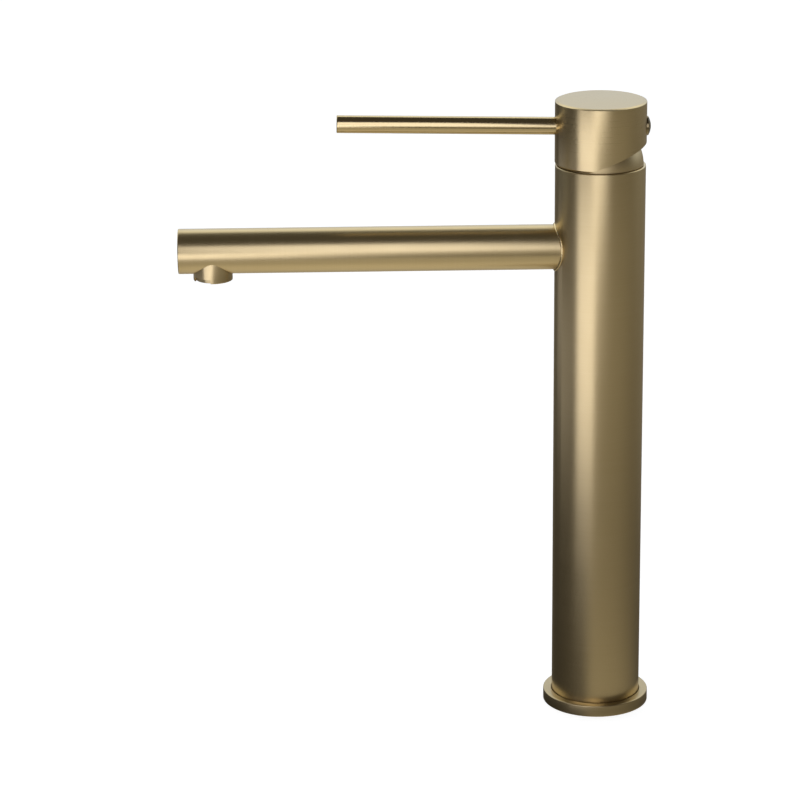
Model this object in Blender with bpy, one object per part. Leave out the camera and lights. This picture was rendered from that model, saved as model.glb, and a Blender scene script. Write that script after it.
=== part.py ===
"""Tall single-lever mixer for a bowl basin, every piece a separate closed solid.

Frame: metres, +Z up, origin at the centre of the base on the deck. The spout and the lever
point to -Y. Hot is on the +X side and cold on the -X side.
"""
import math

import bmesh
import bpy
from mathutils import Vector

MM = 0.001

# Fits
FIT_GAP = 0.3 * MM            # drawn between pieces that touch, are brazed, pressed or screwed
PIN_CLEARANCE = 0.1 * MM      # radial, pivot pin in the lever stem

# Cartridge: the standard size that the body is built round
CARTRIDGE_DIAMETER = 35.0 * MM
CARTRIDGE_WALL = 1.6 * MM
PIVOT_TO_SEAT = 27.0 * MM     # tilt pin down to the cartridge seat in the valve body
PIVOT_TO_BALL = 11.0 * MM
BALL_RADIUS = 2.6 * MM
DISC_SLIDE_OFFSET = 2.3 * MM  # how far behind the centre the sliding disc stands when shut
INLET_X = 8.0 * MM
INLET_Y = -4.0 * MM
INLET_RADIUS = 2.8 * MM
OUTLET_Y = 7.5 * MM
OUTLET_RADIUS = 4.0 * MM
OUTLET_DRILL_RADIUS = 4.2 * MM

# Body walls, from the cartridge outwards
THREAD_DEPTH = 0.6 * MM
VALVE_NECK_WALL = 1.4 * MM
BONNET_SKIRT_WALL = 0.8 * MM
COLUMN_WALL = 1.8 * MM

# Column and base
COLUMN_HEIGHT = 291.0 * MM    # deck to the seam under the cap
RIM_CHAMFER = 0.8 * MM
FLANGE_OVERHANG = 4.5 * MM
FLANGE_THICKNESS = 6.0 * MM
FLANGE_CHAMFER = 0.5 * MM
GASKET_INSET = 1.1 * MM
GASKET_WIDTH = 1.4 * MM
GASKET_HEIGHT = 1.3 * MM
INSERT_HEIGHT = 22.0 * MM
HOSE_THREAD_RADIUS = 5.0 * MM
HOSE_THREAD_DEPTH = 10.0 * MM
STUD_HOLE_RADIUS = 4.0 * MM
STUD_HOLE_DEPTH = 16.0 * MM
STUD_HOLE_Y = 11.0 * MM

# Rigid inlet pipes inside the column
PIPE_RADIUS = 4.0 * MM
PIPE_WALL = 1.0 * MM
PIPE_SEAT_DEPTH = 10.0 * MM
PIPE_BEAD_HEIGHT = 1.0 * MM
PIPE_SEAL_SECTION = 0.6 * MM
PIPE_SEAL_SLACK = 0.4 * MM
PIPE_GLAND_DEPTH = 2.0 * MM

# Spout
SPOUT_DIAMETER = 23.0 * MM
SPOUT_WALL = 1.2 * MM
SPOUT_REACH = 197.0 * MM      # column axis to the aerator's centre
SPOUT_NOSE = 17.4 * MM        # aerator's centre to the spout's end
SPOUT_ROOT_Y = 10.3 * MM      # how far the spout's inner end stands from the column axis
SPOUT_PLUG_THICKNESS = 3.0 * MM
SPOUT_SEAL_SECTION = 0.75 * MM
SPOUT_SEAL_SLACK = 0.3 * MM
SPOUT_SEAL_LAND = 1.2 * MM    # socket's end to the seal groove
SEAT_FLOOR = 2.1 * MM         # metal between the spout's seal groove and the cartridge seat
VALVE_BODY_TAIL = 20.0 * MM   # spout axis down to the valve body's underside
VALVE_RIM_DROP = 0.5 * MM     # valve body's rim under the tilt pin's height
NUT_THREAD_RUNOUT = 1.5 * MM
EDGE_BREAK = 0.3 * MM

# Aerator
COLLAR_SETBACK = 1.5 * MM     # collar's radius under the spout's radius
COLLAR_WALL = 1.0 * MM
COLLAR_DROP = 3.3 * MM        # collar below the spout's lowest line
COLLAR_HEIGHT = 10.5 * MM
COLLAR_SHOULDER = 1.2 * MM
COLLAR_LEDGE = 1.8 * MM
KEY_SLOT_WIDTH = 8.0 * MM
KEY_SLOT_HEIGHT = 2.0 * MM
KEY_SLOT_TURN = -36.0         # degrees from +X
AERATOR_GASKET_HEIGHT = 1.1 * MM
HOUSING_WALL = 1.2 * MM
HOUSING_RECESS = 0.1 * MM
HOUSING_LIP = 0.8 * MM
HONEYCOMB_PITCH = 2.8 * MM
HONEYCOMB_RIB = 0.5 * MM
HONEYCOMB_HEIGHT = 3.0 * MM
DIFFUSER_HEIGHT = 1.0 * MM
DIFFUSER_HOLES = 10
DIFFUSER_CIRCLE = 0.6         # of the plate's radius
DIFFUSER_HOLE_RADIUS = 0.6 * MM

# Handle
SEAM = 0.6 * MM
CAP_OVERHANG = 0.2 * MM
CAP_HEIGHT = 32.6 * MM
CAP_TOP_CHAMFER = 0.5 * MM
BONNET_GAP = 0.4 * MM         # spherical bonnet to the cap's hollow
BONNET_SETBACK = 1.2 * MM     # bonnet's radius under the column's radius
BONNET_THICKNESS = 1.5 * MM
BONNET_OPENING = 55.0         # degrees from straight up
BONNET_SKIRT = 8.5 * MM
RELIEF_START = -7.0 * MM      # Y where the rear relief leaves the cap's lower edge
RELIEF_ANGLE = 20.4           # degrees
LEVER_DIAMETER = 9.0 * MM
LEVER_TIP = 133.0 * MM        # column axis to the lever's tip
LEVER_TIP_CHAMFER = 0.5 * MM
LEVER_ABOVE_PIVOT = 19.6 * MM
LEVER_RISE = 1.15             # degrees, tip above root
LEVER_SINK = 3.0 * MM
LEVER_STUD_RADIUS = 2.4 * MM
LEVER_STUD_IN_ROD = 9.5 * MM
LEVER_STUD_CHAMFER = 0.4 * MM
STUD_END_WALL = 1.0 * MM
BOSS_RADIUS = 8.5 * MM
BOSS_ABOVE_PIVOT = 12.0 * MM
STEM_SIZE = 8.0 * MM
STEM_WAIST = 7.0 * MM
STEM_WAIST_BELOW_PIN = 2.5 * MM
STEM_ENGAGEMENT = 2.8 * MM    # stem's top above the hollow's roof
STEM_SHOULDER = 5.5 * MM
STEM_ARM_RADIUS = 1.4 * MM
GRUB_RADIUS = 2.5 * MM
GRUB_LENGTH = 5.0 * MM
GRUB_CHAMFER = 0.4 * MM
GRUB_KEY = 2.5 * MM           # across the flats of its hexagon
GRUB_KEY_DEPTH = 2.5 * MM
INDEX_PLUG_RADIUS = 4.9 * MM
INDEX_PLUG_DEPTH = 3.5 * MM
INDEX_PLUG_RIM = 0.6 * MM
INDEX_PLUG_PROUD = 2.0 * MM

# Cartridge stack, upwards from the seat
CARTRIDGE_BASE_HEIGHT = 4.0 * MM
PORT_SEAL_HEIGHT = 1.7 * MM
PORT_SEAL_WIDTH = 1.6 * MM
DISC_GASKET_HEIGHT = 1.0 * MM
FIXED_DISC_HEIGHT = 3.2 * MM
FIXED_DISC_RADIUS = 14.6 * MM
SLIDING_DISC_HEIGHT = 3.0 * MM
SLIDING_DISC_RADIUS = 12.3 * MM
CHAMBER_DEPTH = 1.6 * MM      # mixing chamber in the sliding disc's underside
CHAMBER_OFFSET = 3.4 * MM
CHAMBER_HALF_X = 9.4 * MM
CHAMBER_HALF_Y = 5.4 * MM
CARRIER_PLATE_HEIGHT = 3.5 * MM
CARRIER_HEIGHT = 7.0 * MM
CARRIER_HALF_WIDTH = 6.2 * MM
CARRIER_HALF_LENGTH = 7.0 * MM
FORK_THICKNESS = 2.5 * MM
ROTOR_FLANGE_HEIGHT = 1.3 * MM
SHOULDER_THICKNESS = 1.6 * MM
NECK_RADIUS = 12.3 * MM
NECK_WALL = 1.9 * MM
NECK_ABOVE_PIVOT = 5.0 * MM
ROTOR_SLOT_HALF_LENGTH = 7.4 * MM
PIVOT_PIN_RADIUS = 1.5 * MM
PIVOT_PIN_LENGTH = 18.6 * MM
NUT_HEIGHT = 2.9 * MM
NUT_BORE_GAP = 1.0 * MM
NUT_SLOTS = 6
NUT_SLOT_WIDTH = 3.0 * MM
NUT_SLOT_TURN = 11.5          # degrees from X
LIMIT_RING_WIDTH = 2.6 * MM
LIMIT_RING_HEIGHT = 2.8 * MM
LIMIT_RING_TEETH = 12
LIMIT_TOOTH_DEPTH = 0.6 * MM
LOCATING_PIN_RADIUS = 1.2 * MM
LOCATING_PIN_LENGTH = 2.4 * MM
LOCATING_PIN_X = 11.0 * MM
LOCATING_PIN_Y = 6.0 * MM

# Sides of a round, by its size, and of the finest drillings and sections
LARGE = 40
BROAD = 32
MEDIUM = 24
SMALL = 12
DRILLING = 8
O_RING_SECTION = 6

# Modelling allowances
OVERCUT = 1.0 * MM            # how far a cutter runs past the face that it opens
OUTSIDE = 5.0 * MM            # and past a round face
OVERLAP = 1.0 * MM            # how far shapes that are joined run into each other

# Worked out from the values above
CARTRIDGE_R = CARTRIDGE_DIAMETER / 2
CAVITY_R = CARTRIDGE_R + FIT_GAP
THREAD_R = CAVITY_R + THREAD_DEPTH
VALVE_NECK_R = THREAD_R + VALVE_NECK_WALL
SKIRT_INNER_R = VALVE_NECK_R + FIT_GAP
SKIRT_OUTER_R = SKIRT_INNER_R + BONNET_SKIRT_WALL
COLUMN_BORE_R = SKIRT_OUTER_R + FIT_GAP
COLUMN_R = COLUMN_BORE_R + COLUMN_WALL
VALVE_BODY_R = COLUMN_BORE_R - FIT_GAP
FLANGE_R = COLUMN_R + FLANGE_OVERHANG
CAP_R = COLUMN_R + CAP_OVERHANG
BONNET_R = COLUMN_R - BONNET_SETBACK
HOLLOW_R = BONNET_R + BONNET_GAP

SPOUT_R = SPOUT_DIAMETER / 2
SPOUT_BORE_R = SPOUT_R - SPOUT_WALL
SOCKET_R = SPOUT_R + FIT_GAP
SPOUT_SEAL_R = SOCKET_R + SPOUT_SEAL_SLACK + SPOUT_SEAL_SECTION
SPOUT_GROOVE_R = SPOUT_SEAL_R + SPOUT_SEAL_SECTION + FIT_GAP
SOCKET_END_Y = -SPOUT_ROOT_Y + FIT_GAP
GROOVE_NEAR_Y = SOCKET_END_Y - SPOUT_SEAL_LAND
GROOVE_FAR_Y = GROOVE_NEAR_Y - 2 * (SPOUT_SEAL_SECTION + FIT_GAP)

PIVOT_Z = COLUMN_HEIGHT
SEAT_Z = PIVOT_Z - PIVOT_TO_SEAT
SPOUT_Z = SEAT_Z - SEAT_FLOOR - SPOUT_GROOVE_R
VALVE_BOTTOM_Z = SPOUT_Z - VALVE_BODY_TAIL
CAP_BOTTOM_Z = COLUMN_HEIGHT + SEAM
CAP_TOP_Z = CAP_BOTTOM_Z + CAP_HEIGHT
LEVER_Z = PIVOT_Z + LEVER_ABOVE_PIVOT

PIPE_SEAL_R = PIPE_RADIUS + PIPE_SEAL_SLACK + PIPE_SEAL_SECTION
PIPE_GLAND_R = PIPE_SEAL_R + PIPE_SEAL_SECTION + FIT_GAP
PIPE_BEAD_R = PIPE_SEAL_R + PIPE_SEAL_SECTION

COLLAR_R = SPOUT_R - COLLAR_SETBACK
COLLAR_BORE_R = COLLAR_R - COLLAR_WALL
COLLAR_Z = SPOUT_Z - SPOUT_R - COLLAR_DROP
COLLAR_LEDGE_R = COLLAR_BORE_R - COLLAR_LEDGE
HOUSING_R = COLLAR_BORE_R - FIT_GAP
HOUSING_BORE_R = HOUSING_R - HOUSING_WALL
HOUSING_Z = COLLAR_Z + HOUSING_RECESS
GASKET_TOP_Z = COLLAR_Z + COLLAR_HEIGHT - COLLAR_SHOULDER - FIT_GAP
HOUSING_TOP_Z = GASKET_TOP_Z - AERATOR_GASKET_HEIGHT - FIT_GAP
HOUSING_LIP_R = HOUSING_BORE_R - HOUSING_LIP

BASE_Z = SEAT_Z + FIT_GAP
DISC_GASKET_Z = BASE_Z + CARTRIDGE_BASE_HEIGHT + FIT_GAP
FIXED_DISC_Z = DISC_GASKET_Z + DISC_GASKET_HEIGHT + FIT_GAP
SLIDING_DISC_Z = FIXED_DISC_Z + FIXED_DISC_HEIGHT + FIT_GAP
CARRIER_Z = SLIDING_DISC_Z + SLIDING_DISC_HEIGHT + FIT_GAP
ROTOR_Z = CARRIER_Z + CARRIER_HEIGHT + FIT_GAP
SHOULDER_Z = ROTOR_Z + ROTOR_FLANGE_HEIGHT + FIT_GAP
NUT_Z = SHOULDER_Z + SHOULDER_THICKNESS + FIT_GAP
NECK_TOP_Z = PIVOT_Z + NECK_ABOVE_PIVOT
HOUSING_INNER_R = CARTRIDGE_R - CARTRIDGE_WALL
NECK_BORE_R = NECK_RADIUS - NECK_WALL
ROTOR_R = NECK_BORE_R - FIT_GAP

PORTS = [("hot", INLET_X, INLET_Y, INLET_RADIUS),
         ("cold", -INLET_X, INLET_Y, INLET_RADIUS),
         ("outlet", 0.0, OUTLET_Y, OUTLET_RADIUS)]
INLETS = PORTS[:2]

# Colour, roughness and metallic value of each finish
BRUSHED_GOLD = ((0.62, 0.49, 0.30, 1.0), 0.30, 1.0)
BRASS = ((0.70, 0.52, 0.25, 1.0), 0.38, 1.0)
STEEL = ((0.58, 0.58, 0.57, 1.0), 0.30, 1.0)
COPPER = ((0.72, 0.38, 0.25, 1.0), 0.35, 1.0)
CERAMIC = ((0.86, 0.85, 0.80, 1.0), 0.22, 0.0)
WHITE_PLASTIC = ((0.80, 0.80, 0.77, 1.0), 0.45, 0.0)
GREY_PLASTIC = ((0.30, 0.31, 0.32, 1.0), 0.50, 0.0)
BLUE_PLASTIC = ((0.10, 0.22, 0.42, 1.0), 0.50, 0.0)
RUBBER = ((0.03, 0.03, 0.03, 1.0), 0.75, 0.0)


# ---------------------------------------------------------------- modelling helpers

def clear_scene():
    for old in list(bpy.data.objects):
        bpy.data.objects.remove(old, do_unlink=True)


def make_object(name, bm):
    """A mesh object from bm, with its faces pointing out and no spokes across flat ends."""
    bmesh.ops.remove_doubles(bm, verts=bm.verts, dist=1e-7)
    hubs = [vert for vert in bm.verts if math.hypot(vert.co.x, vert.co.y) < 1e-9
            and all(abs(edge.other_vert(vert).co.z - vert.co.z) < 1e-9 for edge in vert.link_edges)]
    bmesh.ops.dissolve_verts(bm, verts=hubs)
    bmesh.ops.recalc_face_normals(bm, faces=bm.faces)
    mesh = bpy.data.meshes.new(name)
    bm.to_mesh(mesh)
    bm.free()
    obj = bpy.data.objects.new(name, mesh)
    bpy.context.scene.collection.objects.link(obj)
    return obj


def turned(name, outline, sides, at=(0.0, 0.0, 0.0), along=(0.0, 0.0, 1.0)):
    """A turned piece: outline holds (radius, height) points, heights measured along an axis.

    An outline that starts and ends on the axis makes a solid; any other is closed as a ring.
    """
    bm = bmesh.new()
    verts = [bm.verts.new((radius, 0.0, height)) for radius, height in outline]
    edges = [bm.edges.new(pair) for pair in zip(verts, verts[1:])]
    if outline[0][0] > 0.0:
        edges.append(bm.edges.new((verts[-1], verts[0])))
    bmesh.ops.spin(bm, geom=verts + edges, cent=(0, 0, 0), axis=(0, 0, 1),
                   angle=2 * math.pi, steps=sides, use_merge=True)
    obj = make_object(name, bm)
    obj.location = at
    obj.rotation_euler = Vector(along).to_track_quat("Z", "Y").to_euler()
    return obj


def rod(name, radius, start, end, sides):
    """A plain round from start to end."""
    start, end = Vector(start), Vector(end)
    length = (end - start).length
    outline = [(0, 0), (radius, 0), (radius, length), (0, length)]
    return turned(name, outline, sides, at=start, along=end - start)


def ring(name, inner, outer, height, sides, at=(0.0, 0.0, 0.0)):
    return turned(name, [(inner, 0), (outer, 0), (outer, height), (inner, height)], sides, at)


def o_ring(name, centre_radius, section, sides, at, along=(0.0, 0.0, 1.0)):
    turns = [2 * math.pi * step / O_RING_SECTION for step in range(O_RING_SECTION)]
    outline = [(centre_radius + section * math.cos(a), section * math.sin(a)) for a in turns]
    return turned(name, outline, sides, at, along)


def box(name, low, high):
    bm = bmesh.new()
    bmesh.ops.create_cube(bm, size=1.0)
    low, high = Vector(low), Vector(high)
    for vert in bm.verts:
        vert.co = Vector(low[i] + (vert.co[i] + 0.5) * (high[i] - low[i]) for i in range(3))
    return make_object(name, bm)


def prisms(name, outlines, bottom, top, at=(0.0, 0.0, 0.0)):
    """Flat outlines of (x, y) corners, each extruded from bottom to top, in one object."""
    bm = bmesh.new()
    for corners in outlines:
        face = bm.faces.new([bm.verts.new((x, y, bottom)) for x, y in corners])
        grown = bmesh.ops.extrude_face_region(bm, geom=[face])
        moved = [item for item in grown["geom"] if isinstance(item, bmesh.types.BMVert)]
        bmesh.ops.translate(bm, verts=moved, vec=(0, 0, top - bottom))
    obj = make_object(name, bm)
    obj.location = at
    return obj


def prism(name, corners, bottom, top, at=(0.0, 0.0, 0.0)):
    return prisms(name, [corners], bottom, top, at)


def polygon(sides, radius, turn=0.0, centre=(0.0, 0.0)):
    angles = [turn + 2 * math.pi * side / sides for side in range(sides)]
    return [(centre[0] + radius * math.cos(a), centre[1] + radius * math.sin(a)) for a in angles]


def arc(radius, start, end, steps, centre=0.0):
    """(radius, height) points on a circle round the axis; angles in degrees from straight up."""
    points = []
    for step in range(steps + 1):
        angle = math.radians(start + (end - start) * step / steps)
        points.append((radius * math.sin(angle), centre + radius * math.cos(angle)))
    return points


def combine(body, tool, operation="DIFFERENCE"):
    """Cut tool out of body, or join it on; the tool stays as a hidden guide."""
    modifier = body.modifiers.new(tool.name, "BOOLEAN")
    modifier.operation = operation
    modifier.solver = "EXACT"
    modifier.object = tool
    tool.hide_render = True
    tool.display_type = "WIRE"
    tool.parent = body.parent
    tool.matrix_parent_inverse = body.matrix_parent_inverse.copy()


def join(body, tool):
    combine(body, tool, "UNION")


def finish(obj, look):
    """Give a piece its own material, and shade its rounds smooth."""
    colour, roughness, metallic = look
    material = bpy.data.materials.new(obj.name)
    material.use_nodes = True
    shader = material.node_tree.nodes["Principled BSDF"]
    shader.inputs["Base Color"].default_value = colour
    shader.inputs["Roughness"].default_value = roughness
    shader.inputs["Metallic"].default_value = metallic
    material.diffuse_color = colour
    obj.data.materials.append(material)
    obj.data.shade_smooth()
    obj.data.set_sharp_from_angle(angle=math.radians(30))
    return obj


def pivot(name, at):
    """An empty on a joint's axis, which the moving pieces are parented to."""
    empty = bpy.data.objects.new(name, None)
    empty.location = at
    empty.empty_display_size = 10 * MM
    bpy.context.scene.collection.objects.link(empty)
    return empty


def hang_on(empty, *pieces):
    bpy.context.view_layer.update()
    for piece in pieces:
        tools = [modifier.object for modifier in piece.modifiers if modifier.type == "BOOLEAN"]
        for obj in [piece] + tools:
            obj.parent = empty
            obj.matrix_parent_inverse = empty.matrix_world.inverted()


# ---------------------------------------------------------------- base

def make_base_flange():
    inner = COLUMN_R + FIT_GAP
    groove_in = inner + GASKET_INSET
    groove_out = groove_in + GASKET_WIDTH + 2 * FIT_GAP
    groove_top = GASKET_HEIGHT + FIT_GAP
    outline = [(inner, 0), (groove_in, 0), (groove_in, groove_top), (groove_out, groove_top),
               (groove_out, 0), (FLANGE_R - EDGE_BREAK, 0), (FLANGE_R, EDGE_BREAK),
               (FLANGE_R, FLANGE_THICKNESS - FLANGE_CHAMFER),
               (FLANGE_R - FLANGE_CHAMFER, FLANGE_THICKNESS), (inner, FLANGE_THICKNESS)]
    finish(turned("base_flange", outline, LARGE), BRUSHED_GOLD)
    gasket_in = groove_in + FIT_GAP
    gasket = ring("base_gasket", gasket_in, gasket_in + GASKET_WIDTH, GASKET_HEIGHT, LARGE)
    finish(gasket, RUBBER)


def make_base_insert():
    """Solid brass foot of the column: two hose threads and one blind stud thread below."""
    radius = COLUMN_BORE_R - FIT_GAP
    outline = [(0, 0), (radius - EDGE_BREAK, 0), (radius, EDGE_BREAK), (radius, INSERT_HEIGHT),
               (0, INSERT_HEIGHT)]
    insert = turned("base_insert", outline, LARGE)
    gland_z = INSERT_HEIGHT - PIPE_GLAND_DEPTH
    seat_z = INSERT_HEIGHT - PIPE_SEAT_DEPTH
    over = INSERT_HEIGHT + OVERCUT
    for name, x, y, bore in INLETS:
        outline = [(0, -OVERCUT), (HOSE_THREAD_RADIUS, -OVERCUT),
                   (HOSE_THREAD_RADIUS, HOSE_THREAD_DEPTH), (bore, HOSE_THREAD_DEPTH),
                   (bore, seat_z), (PIPE_RADIUS + FIT_GAP, seat_z),
                   (PIPE_RADIUS + FIT_GAP, gland_z), (PIPE_GLAND_R, gland_z),
                   (PIPE_GLAND_R, over), (0, over)]
        combine(insert, turned(f"cut_insert_{name}", outline, MEDIUM, at=(x, y, 0)))
    combine(insert, rod("cut_insert_stud", STUD_HOLE_RADIUS, (0, STUD_HOLE_Y, -OVERCUT),
                        (0, STUD_HOLE_Y, STUD_HOLE_DEPTH), MEDIUM))
    finish(insert, BRASS)


def make_inlet_pipes():
    """Copper pipes from the foot to the valve body, each beaded over an O-ring at both ends."""
    bottom = INSERT_HEIGHT - PIPE_SEAT_DEPTH + FIT_GAP
    top = VALVE_BOTTOM_Z + PIPE_SEAT_DEPTH - FIT_GAP
    low_bead = INSERT_HEIGHT + FIT_GAP
    high_bead = VALVE_BOTTOM_Z - FIT_GAP
    bore = PIPE_RADIUS - PIPE_WALL
    outline = [(bore, bottom), (PIPE_RADIUS, bottom)]
    for bead in (low_bead, high_bead - PIPE_BEAD_HEIGHT):
        outline += [(PIPE_RADIUS, bead), (PIPE_BEAD_R, bead),
                    (PIPE_BEAD_R, bead + PIPE_BEAD_HEIGHT), (PIPE_RADIUS, bead + PIPE_BEAD_HEIGHT)]
    outline += [(PIPE_RADIUS, top), (bore, top)]
    low_seal = INSERT_HEIGHT - PIPE_GLAND_DEPTH / 2
    high_seal = VALVE_BOTTOM_Z + PIPE_GLAND_DEPTH / 2
    for name, x, y, _ in INLETS:
        finish(turned(f"{name}_inlet_pipe", outline, SMALL, at=(x, y, 0)), COPPER)
        for place, height in (("lower", low_seal), ("upper", high_seal)):
            seal = o_ring(f"{name}_pipe_{place}_seal", PIPE_SEAL_R, PIPE_SEAL_SECTION, SMALL,
                          at=(x, y, height))
            finish(seal, RUBBER)


# ---------------------------------------------------------------- column and valve body

def make_column():
    outline = [(COLUMN_BORE_R, 0), (COLUMN_R - EDGE_BREAK, 0), (COLUMN_R, EDGE_BREAK),
               (COLUMN_R, COLUMN_HEIGHT - RIM_CHAMFER), (COLUMN_R - RIM_CHAMFER, COLUMN_HEIGHT),
               (COLUMN_BORE_R, COLUMN_HEIGHT)]
    column = turned("column_tube", outline, LARGE)
    combine(column, rod("cut_column_spout", SOCKET_R, (0, 0, SPOUT_Z),
                        (0, -COLUMN_R - OUTSIDE, SPOUT_Z), MEDIUM))
    finish(column, BRUSHED_GOLD)


def make_valve_body():
    """Brass block in the column's top: inlets below, spout in front, cartridge above."""
    top = PIVOT_Z - VALVE_RIM_DROP
    neck_z = PIVOT_Z - BONNET_SKIRT - 2 * FIT_GAP
    thread_z = NUT_Z - NUT_THREAD_RUNOUT
    outline = [(0, VALVE_BOTTOM_Z), (VALVE_BODY_R, VALVE_BOTTOM_Z), (VALVE_BODY_R, neck_z),
               (VALVE_NECK_R, neck_z), (VALVE_NECK_R, top), (THREAD_R, top),
               (THREAD_R, thread_z), (CAVITY_R, thread_z), (CAVITY_R, SEAT_Z), (0, SEAT_Z)]
    body = turned("valve_body", outline, LARGE)
    over = SEAT_Z + OVERCUT
    bottom = VALVE_BOTTOM_Z - OVERCUT
    gland = VALVE_BOTTOM_Z + PIPE_GLAND_DEPTH
    seat = VALVE_BOTTOM_Z + PIPE_SEAT_DEPTH
    for name, x, y, bore in INLETS:
        outline = [(0, bottom), (PIPE_GLAND_R, bottom), (PIPE_GLAND_R, gland),
                   (PIPE_RADIUS + FIT_GAP, gland), (PIPE_RADIUS + FIT_GAP, seat), (bore, seat),
                   (bore, over), (0, over)]
        combine(body, turned(f"cut_valve_{name}", outline, SMALL, at=(x, y, 0)))
    far = VALVE_BODY_R + OVERCUT
    outline = [(0, -OUTLET_Y), (OUTLET_DRILL_RADIUS, -OUTLET_Y),
               (OUTLET_DRILL_RADIUS, -SOCKET_END_Y), (SOCKET_R, -SOCKET_END_Y),
               (SOCKET_R, -GROOVE_NEAR_Y), (SPOUT_GROOVE_R, -GROOVE_NEAR_Y),
               (SPOUT_GROOVE_R, -GROOVE_FAR_Y), (SOCKET_R, -GROOVE_FAR_Y), (SOCKET_R, far),
               (0, far)]
    combine(body, turned("cut_valve_spout", outline, MEDIUM, at=(0, 0, SPOUT_Z), along=(0, -1, 0)))
    combine(body, rod("cut_valve_outlet", OUTLET_RADIUS, (0, OUTLET_Y, SPOUT_Z),
                      (0, OUTLET_Y, over), SMALL))
    for side in (-1, 1):
        foot = (side * LOCATING_PIN_X, LOCATING_PIN_Y, SEAT_Z - LOCATING_PIN_LENGTH)
        head = (side * LOCATING_PIN_X, LOCATING_PIN_Y, over)
        combine(body, rod(f"cut_valve_pin_{side}", LOCATING_PIN_RADIUS + FIT_GAP, foot, head, SMALL))
    finish(body, BRASS)


# ---------------------------------------------------------------- spout and aerator

def make_spout():
    end = SPOUT_REACH + SPOUT_NOSE
    outline = [(SPOUT_BORE_R, SPOUT_ROOT_Y), (SPOUT_R, SPOUT_ROOT_Y), (SPOUT_R, end - EDGE_BREAK),
               (SPOUT_R - EDGE_BREAK, end), (SPOUT_BORE_R, end)]
    spout = turned("spout_tube", outline, BROAD, at=(0, 0, SPOUT_Z), along=(0, -1, 0))
    below = SPOUT_Z - SPOUT_R - OUTSIDE
    hole_top = COLLAR_Z + COLLAR_HEIGHT + FIT_GAP
    combine(spout, rod("cut_spout_collar", COLLAR_R + FIT_GAP, (0, -SPOUT_REACH, below),
                       (0, -SPOUT_REACH, hole_top), MEDIUM))
    finish(spout, BRUSHED_GOLD)

    plug_r = SPOUT_BORE_R - FIT_GAP
    back = end - SPOUT_PLUG_THICKNESS
    outline = [(0, back), (plug_r - EDGE_BREAK, back), (plug_r, back + EDGE_BREAK), (plug_r, end),
               (0, end)]
    plug = turned("spout_end_plug", outline, MEDIUM, at=(0, 0, SPOUT_Z), along=(0, -1, 0))
    finish(plug, BRUSHED_GOLD)

    seal_y = (GROOVE_NEAR_Y + GROOVE_FAR_Y) / 2
    seal = o_ring("spout_root_seal", SPOUT_SEAL_R, SPOUT_SEAL_SECTION, MEDIUM,
                  at=(0, seal_y, SPOUT_Z), along=(0, -1, 0))
    finish(seal, RUBBER)


def make_aerator():
    centre = (0.0, -SPOUT_REACH, 0.0)
    top = COLLAR_Z + COLLAR_HEIGHT
    shelf = top - COLLAR_SHOULDER
    outline = [(COLLAR_BORE_R, COLLAR_Z), (COLLAR_R - EDGE_BREAK, COLLAR_Z),
               (COLLAR_R, COLLAR_Z + EDGE_BREAK), (COLLAR_R, top), (COLLAR_LEDGE_R, top),
               (COLLAR_LEDGE_R, shelf), (COLLAR_BORE_R, shelf)]
    collar = turned("aerator_collar", outline, MEDIUM, at=centre)
    slot = box("cut_collar_slots", (-2 * COLLAR_R, -KEY_SLOT_WIDTH / 2, COLLAR_Z - OVERCUT),
               (2 * COLLAR_R, KEY_SLOT_WIDTH / 2, COLLAR_Z + KEY_SLOT_HEIGHT))
    slot.location = centre
    slot.rotation_euler = (0, 0, math.radians(KEY_SLOT_TURN))
    combine(collar, slot)
    finish(collar, BRUSHED_GOLD)

    gasket = ring("aerator_gasket", COLLAR_LEDGE_R, HOUSING_R, AERATOR_GASKET_HEIGHT, MEDIUM,
                  at=(0, -SPOUT_REACH, GASKET_TOP_Z - AERATOR_GASKET_HEIGHT))
    finish(gasket, RUBBER)

    lip_top = HOUSING_Z + HOUSING_LIP
    outline = [(HOUSING_LIP_R, HOUSING_Z), (HOUSING_R, HOUSING_Z), (HOUSING_R, HOUSING_TOP_Z),
               (HOUSING_BORE_R, HOUSING_TOP_Z), (HOUSING_BORE_R, lip_top),
               (HOUSING_LIP_R, lip_top)]
    finish(turned("aerator_housing", outline, MEDIUM, at=centre), BRUSHED_GOLD)

    insert_r = HOUSING_BORE_R - FIT_GAP
    comb_z = lip_top + FIT_GAP
    comb = turned("flow_straightener", [(0, comb_z), (insert_r, comb_z),
                                        (insert_r, comb_z + HONEYCOMB_HEIGHT),
                                        (0, comb_z + HONEYCOMB_HEIGHT)], MEDIUM, at=centre)
    combine(comb, prisms("cut_honeycomb", honeycomb(insert_r), comb_z - OVERCUT,
                         comb_z + HONEYCOMB_HEIGHT + OVERCUT, at=centre))
    finish(comb, GREY_PLASTIC)

    plate_z = comb_z + HONEYCOMB_HEIGHT + FIT_GAP
    plate = turned("aerator_diffuser", [(0, plate_z), (insert_r, plate_z),
                                        (insert_r, plate_z + DIFFUSER_HEIGHT),
                                        (0, plate_z + DIFFUSER_HEIGHT)], MEDIUM, at=centre)
    drills = [polygon(DRILLING, DIFFUSER_HOLE_RADIUS, centre=hole)
              for hole in polygon(DIFFUSER_HOLES, DIFFUSER_CIRCLE * insert_r)]
    combine(plate, prisms("cut_diffuser", drills, plate_z - OVERCUT,
                          plate_z + DIFFUSER_HEIGHT + OVERCUT, at=centre))
    finish(plate, WHITE_PLASTIC)


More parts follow.
